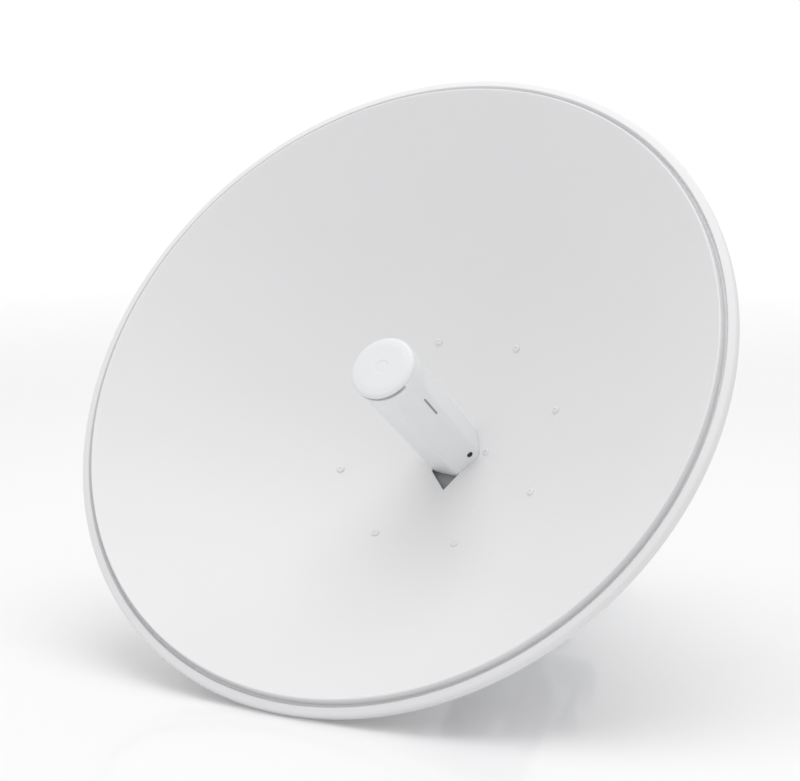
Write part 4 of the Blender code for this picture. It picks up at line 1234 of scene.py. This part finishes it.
def vee_outline(base_z, tip_z, towards):
    """A toothed vee block from its flat base to its tips, as (x, axis) points."""
    half = CLAMP_HALF_WIDTH
    floor_z = tip_z - towards * VEE_DEPTH
    flank = []
    for i in range(VEE_TEETH):
        for share, lift in ((i / VEE_TEETH, 0), ((i + 0.5) / VEE_TEETH, TOOTH_DEPTH)):
            x = VEE_HALF_WIDTH + (VEE_FLOOR_HALF_WIDTH - VEE_HALF_WIDTH) * share
            flank.append((x, tip_z + (floor_z - tip_z) * share - towards * lift))
    flank.append((VEE_FLOOR_HALF_WIDTH, floor_z))
    right = [(half, base_z), (half, tip_z - towards * 4 * MM, 3 * MM), (half - 4 * MM, tip_z, 3 * MM), *flank]
    return rounded_loop([*right, *[(-point[0], *point[1:]) for point in reversed(right)]])


class ANTENNA_OT_bracket(bpy.types.Operator):
    """Joins the web, its two arms, the raised pad and the two toothed saddles that take the pole"""

    bl_idname = "antenna.bracket"
    bl_label = "Pole bracket"

    def execute(self, context):
        back_z, root = WEB_FRONT_Z - WEB, WEB_FRONT_Z - WEB / 2
        wide, high = CLAMP_HALF_WIDTH, CLAMP_HALF_HEIGHT
        corners = ((-wide, -high), (wide, -high), (wide, high), (-wide, high))
        plan = rounded_loop([(*corner, 5 * MM) for corner in corners], 6)
        bracket = softened(slab(plan, back_z, WEB_FRONT_Z), 0.8 * MM, 3)
        front, half = ARM_FRONT_Z, ARM_HALF_HEIGHT
        lower = [(root, -half - 8 * MM), (front - 12 * MM, -half, 6 * MM), (front, -half + 12 * MM, 8 * MM)]
        side = rounded_loop(mirrored(lower), 6)
        holes = [shift(PIVOT_Z, PIVOT_Y), shift(LOCK_Z, LOCK_Y)]
        for sign in (-1, 1):
            arm = softened(slab(side, -ARM / 2, ARM / 2), 0.8 * MM, 3)
            cut(arm, drills(-ARM, ARM, holes))
            weld(bracket, moved(arm, standing(sign * (ARM_OUTER_X - ARM / 2))))
        outline = vee_outline(root, SADDLE_TIP_Z, -1)
        for sign in (-1, 1):
            saddle = softened(slab(outline, -SADDLE / 2, SADDLE / 2), 0.4 * MM, 2, 50)
            weld(bracket, moved(saddle, lying(sign * JAW_RISE)))
        weld(bracket, box_solid(PAD_SIZE, (0, 0, back_z + 0.5 * MM), 0.4 * MM, 2))
        cut(bracket, drills(JAW_BACK_Z, WEB_FRONT_Z + 9 * MM, clamp_bolt_places()))
        settled(bracket, "welded_bracket", "galvanised_sheet", "zinc_steel", "pole_bracket", angle=32)
        return {"FINISHED"}


class ANTENNA_OT_jaws(bpy.types.Operator):
    """Makes the two toothed clamp jaws with the pockets in their backs"""

    bl_idname = "antenna.jaws"
    bl_label = "Clamp jaws"

    def execute(self, context):
        outline = vee_outline(JAW_BACK_Z, JAW_TIP_Z, 1)
        pocket = rounded_loop(POCKET)
        for side, rise in (("upper", JAW_RISE), ("lower", -JAW_RISE)):
            jaw = softened(slab(outline, -JAW_HEIGHT / 2, JAW_HEIGHT / 2), 0.5 * MM, 2, 50)
            moved(jaw, lying(rise))
            for turn in (0, math.pi):
                hollow = slab(pocket, JAW_BACK_Z - 2 * MM, JAW_BACK_Z + POCKET_DEPTH)
                cut(jaw, moved(hollow, shift(0, rise) @ rotation(turn)))
            cut(jaw, drills(JAW_BACK_Z - 9 * MM, WEB_FRONT_Z, clamp_bolt_places()))
            node = f"clamp_jaw_{side}"
            settled(jaw, f"toothed_jaw_{side}", "galvanised_sheet", "zinc_steel", node, angle=32)
        return {"FINISHED"}


class ANTENNA_OT_clamp_bolts(bpy.types.Operator):
    """Turns a carriage bolt and puts four of them through the clamp, with their nuts"""

    bl_idname = "antenna.clamp_bolts"
    bl_label = "Clamp bolts"

    def execute(self, context):
        seat = JAW_BACK_Z - GAP
        shank = threaded_end(JAW_TIP_Z - 6 * MM, WEB_FRONT_Z + GAP + BOLT_REACH)
        bolt = turned([*shank, (BOLT_RADIUS, seat), *rounded(raised(CARRIAGE_HEAD, seat), 6)], 40)
        nut = hex_nut(WEB_FRONT_Z + GAP)
        for i, place in enumerate(clamp_bolt_places()):
            turn = place @ rotation(0.4 * i)
            fastened(copy_of(bolt, turn), f"carriage_bolt_{i + 1}", f"clamp_bolt_{i + 1}")
            fastened(copy_of(nut, turn), f"flange_nut_{i + 1}", f"clamp_nut_{i + 1}")
        discard(bolt, nut)
        return {"FINISHED"}


def floor_material(stage):
    """White studio board with a faint gloss, which runs out into white away from the antenna."""
    material, tree, shader, place = new_material("studio_board")
    tint = mottled(tree, place, stage.floor, 400, 0.004)[1]
    away = add_node(tree, "ShaderNodeVectorMath", {"Vector": place}, operation="LENGTH").outputs["Value"]
    reach = {"Value": away, "From Min": stage.glow_start, "From Max": stage.glow_end}
    reach["To Max"] = stage.floor_glow
    glow = add_node(tree, "ShaderNodeMapRange", reach, interpolation_type="SMOOTHSTEP").outputs["Result"]
    connect(
        tree,
        shader,
        Base_Color=tint,
        Roughness=0.6,
        Coat_Weight=stage.floor_gloss,
        Coat_Roughness=0.08,
        Emission_Color=(1, 1, 1, 1),
        Emission_Strength=glow,
    )
    return material


def surround(strength):
    """An even white surround, seen as pure white by the camera and a little dimmer by the pieces."""
    world = bpy.data.worlds.new("white_surround")
    world.use_nodes = True
    tree = world.node_tree
    seen = add_node(tree, "ShaderNodeLightPath").outputs["Is Camera Ray"]
    give(tree, tree.nodes["Background"], {"Strength": varied(tree, seen, strength, 1), "Color": (1, 1, 1, 1)})
    return world


def aimed(direction):
    """The rotation that points a light or the camera in this direction."""
    return direction.to_track_quat("-Z", "Y").to_euler()


def area_light(name, power, place, size):
    """A round soft light that shines on the antenna."""
    towards = Vector(LIGHT_TARGET) - Vector(place)
    bpy.ops.object.light_add(type="AREA", location=place, rotation=aimed(towards))
    light = bpy.context.object
    light.name = name
    light.data.shape = "DISK"
    light.data.size = size
    light.data.energy = power


class ANTENNA_OT_stage(bpy.types.Operator):
    """Lays the pale floor, hangs the soft lights and sets up the camera"""

    bl_idname = "antenna.stage"
    bl_label = "Floor, light and camera"

    def execute(self, context):
        stage = context.scene.antenna_stage
        floor = primitive("plane", size=FLOOR_SIZE)
        floor.name = "studio_floor"
        floor.data.materials.append(floor_material(stage))
        area_light("overhead", stage.overhead, OVERHEAD_PLACE, OVERHEAD_SIZE)
        area_light("behind", stage.behind, BEHIND_PLACE, BEHIND_SIZE)
        context.scene.world = surround(stage.sky)
        context.scene.view_settings.view_transform = "Standard"
        view = aimed(-Vector(CAMERA_BACK).normalized())
        bpy.ops.object.camera_add(location=CAMERA_PLACE, rotation=view)
        camera = context.scene.camera = context.object
        camera.data.sensor_width = CAMERA_SENSOR
        camera.data.lens = CAMERA_LENS
        camera.data.clip_end = CAMERA_REACH
        return {"FINISHED"}


GROUPS = {
    "antenna_dish": DishSizes,
    "antenna_feed": FeedSizes,
    "antenna_finishes": Finishes,
    "antenna_stage": StageSettings,
}

OPERATORS = (
    ANTENNA_OT_reflector,
    ANTENNA_OT_rivets,
    ANTENNA_OT_feed,
    ANTENNA_OT_cap,
    ANTENNA_OT_hub_screws,
    ANTENNA_OT_backing,
    ANTENNA_OT_housing,
    ANTENNA_OT_port,
    ANTENNA_OT_housing_bolts,
    ANTENNA_OT_pivot,
    ANTENNA_OT_bracket,
    ANTENNA_OT_jaws,
    ANTENNA_OT_clamp_bolts,
    ANTENNA_OT_stage,
)


class ANTENNA_PT_panel(bpy.types.Panel):
    """Lists the sizes, the colours and the pieces"""

    bl_idname = "ANTENNA_PT_panel"
    bl_label = "Dish antenna"
    bl_space_type = "VIEW_3D"
    bl_region_type = "UI"
    bl_category = "Antenna"

    def draw(self, context):
        for group in GROUPS:
            box = self.layout.box()
            values = getattr(context.scene, group)
            for name in values.__annotations__:
                box.prop(values, name)
        for operator in OPERATORS:
            self.layout.operator(operator.bl_idname)


CLASSES = (*GROUPS.values(), *OPERATORS, ANTENNA_PT_panel)


def register():
    for known in CLASSES:
        bpy.utils.register_class(known)
    for name, group in GROUPS.items():
        setattr(bpy.types.Scene, name, PointerProperty(type=group))


def unregister():
    for name in GROUPS:
        delattr(bpy.types.Scene, name)
    for known in reversed(CLASSES):
        bpy.utils.unregister_class(known)


def main():
    register()
    for operator in OPERATORS:
        area, name = operator.bl_idname.split(".")
        getattr(getattr(bpy.ops, area), name)()


if __name__ == "__main__":
    main()
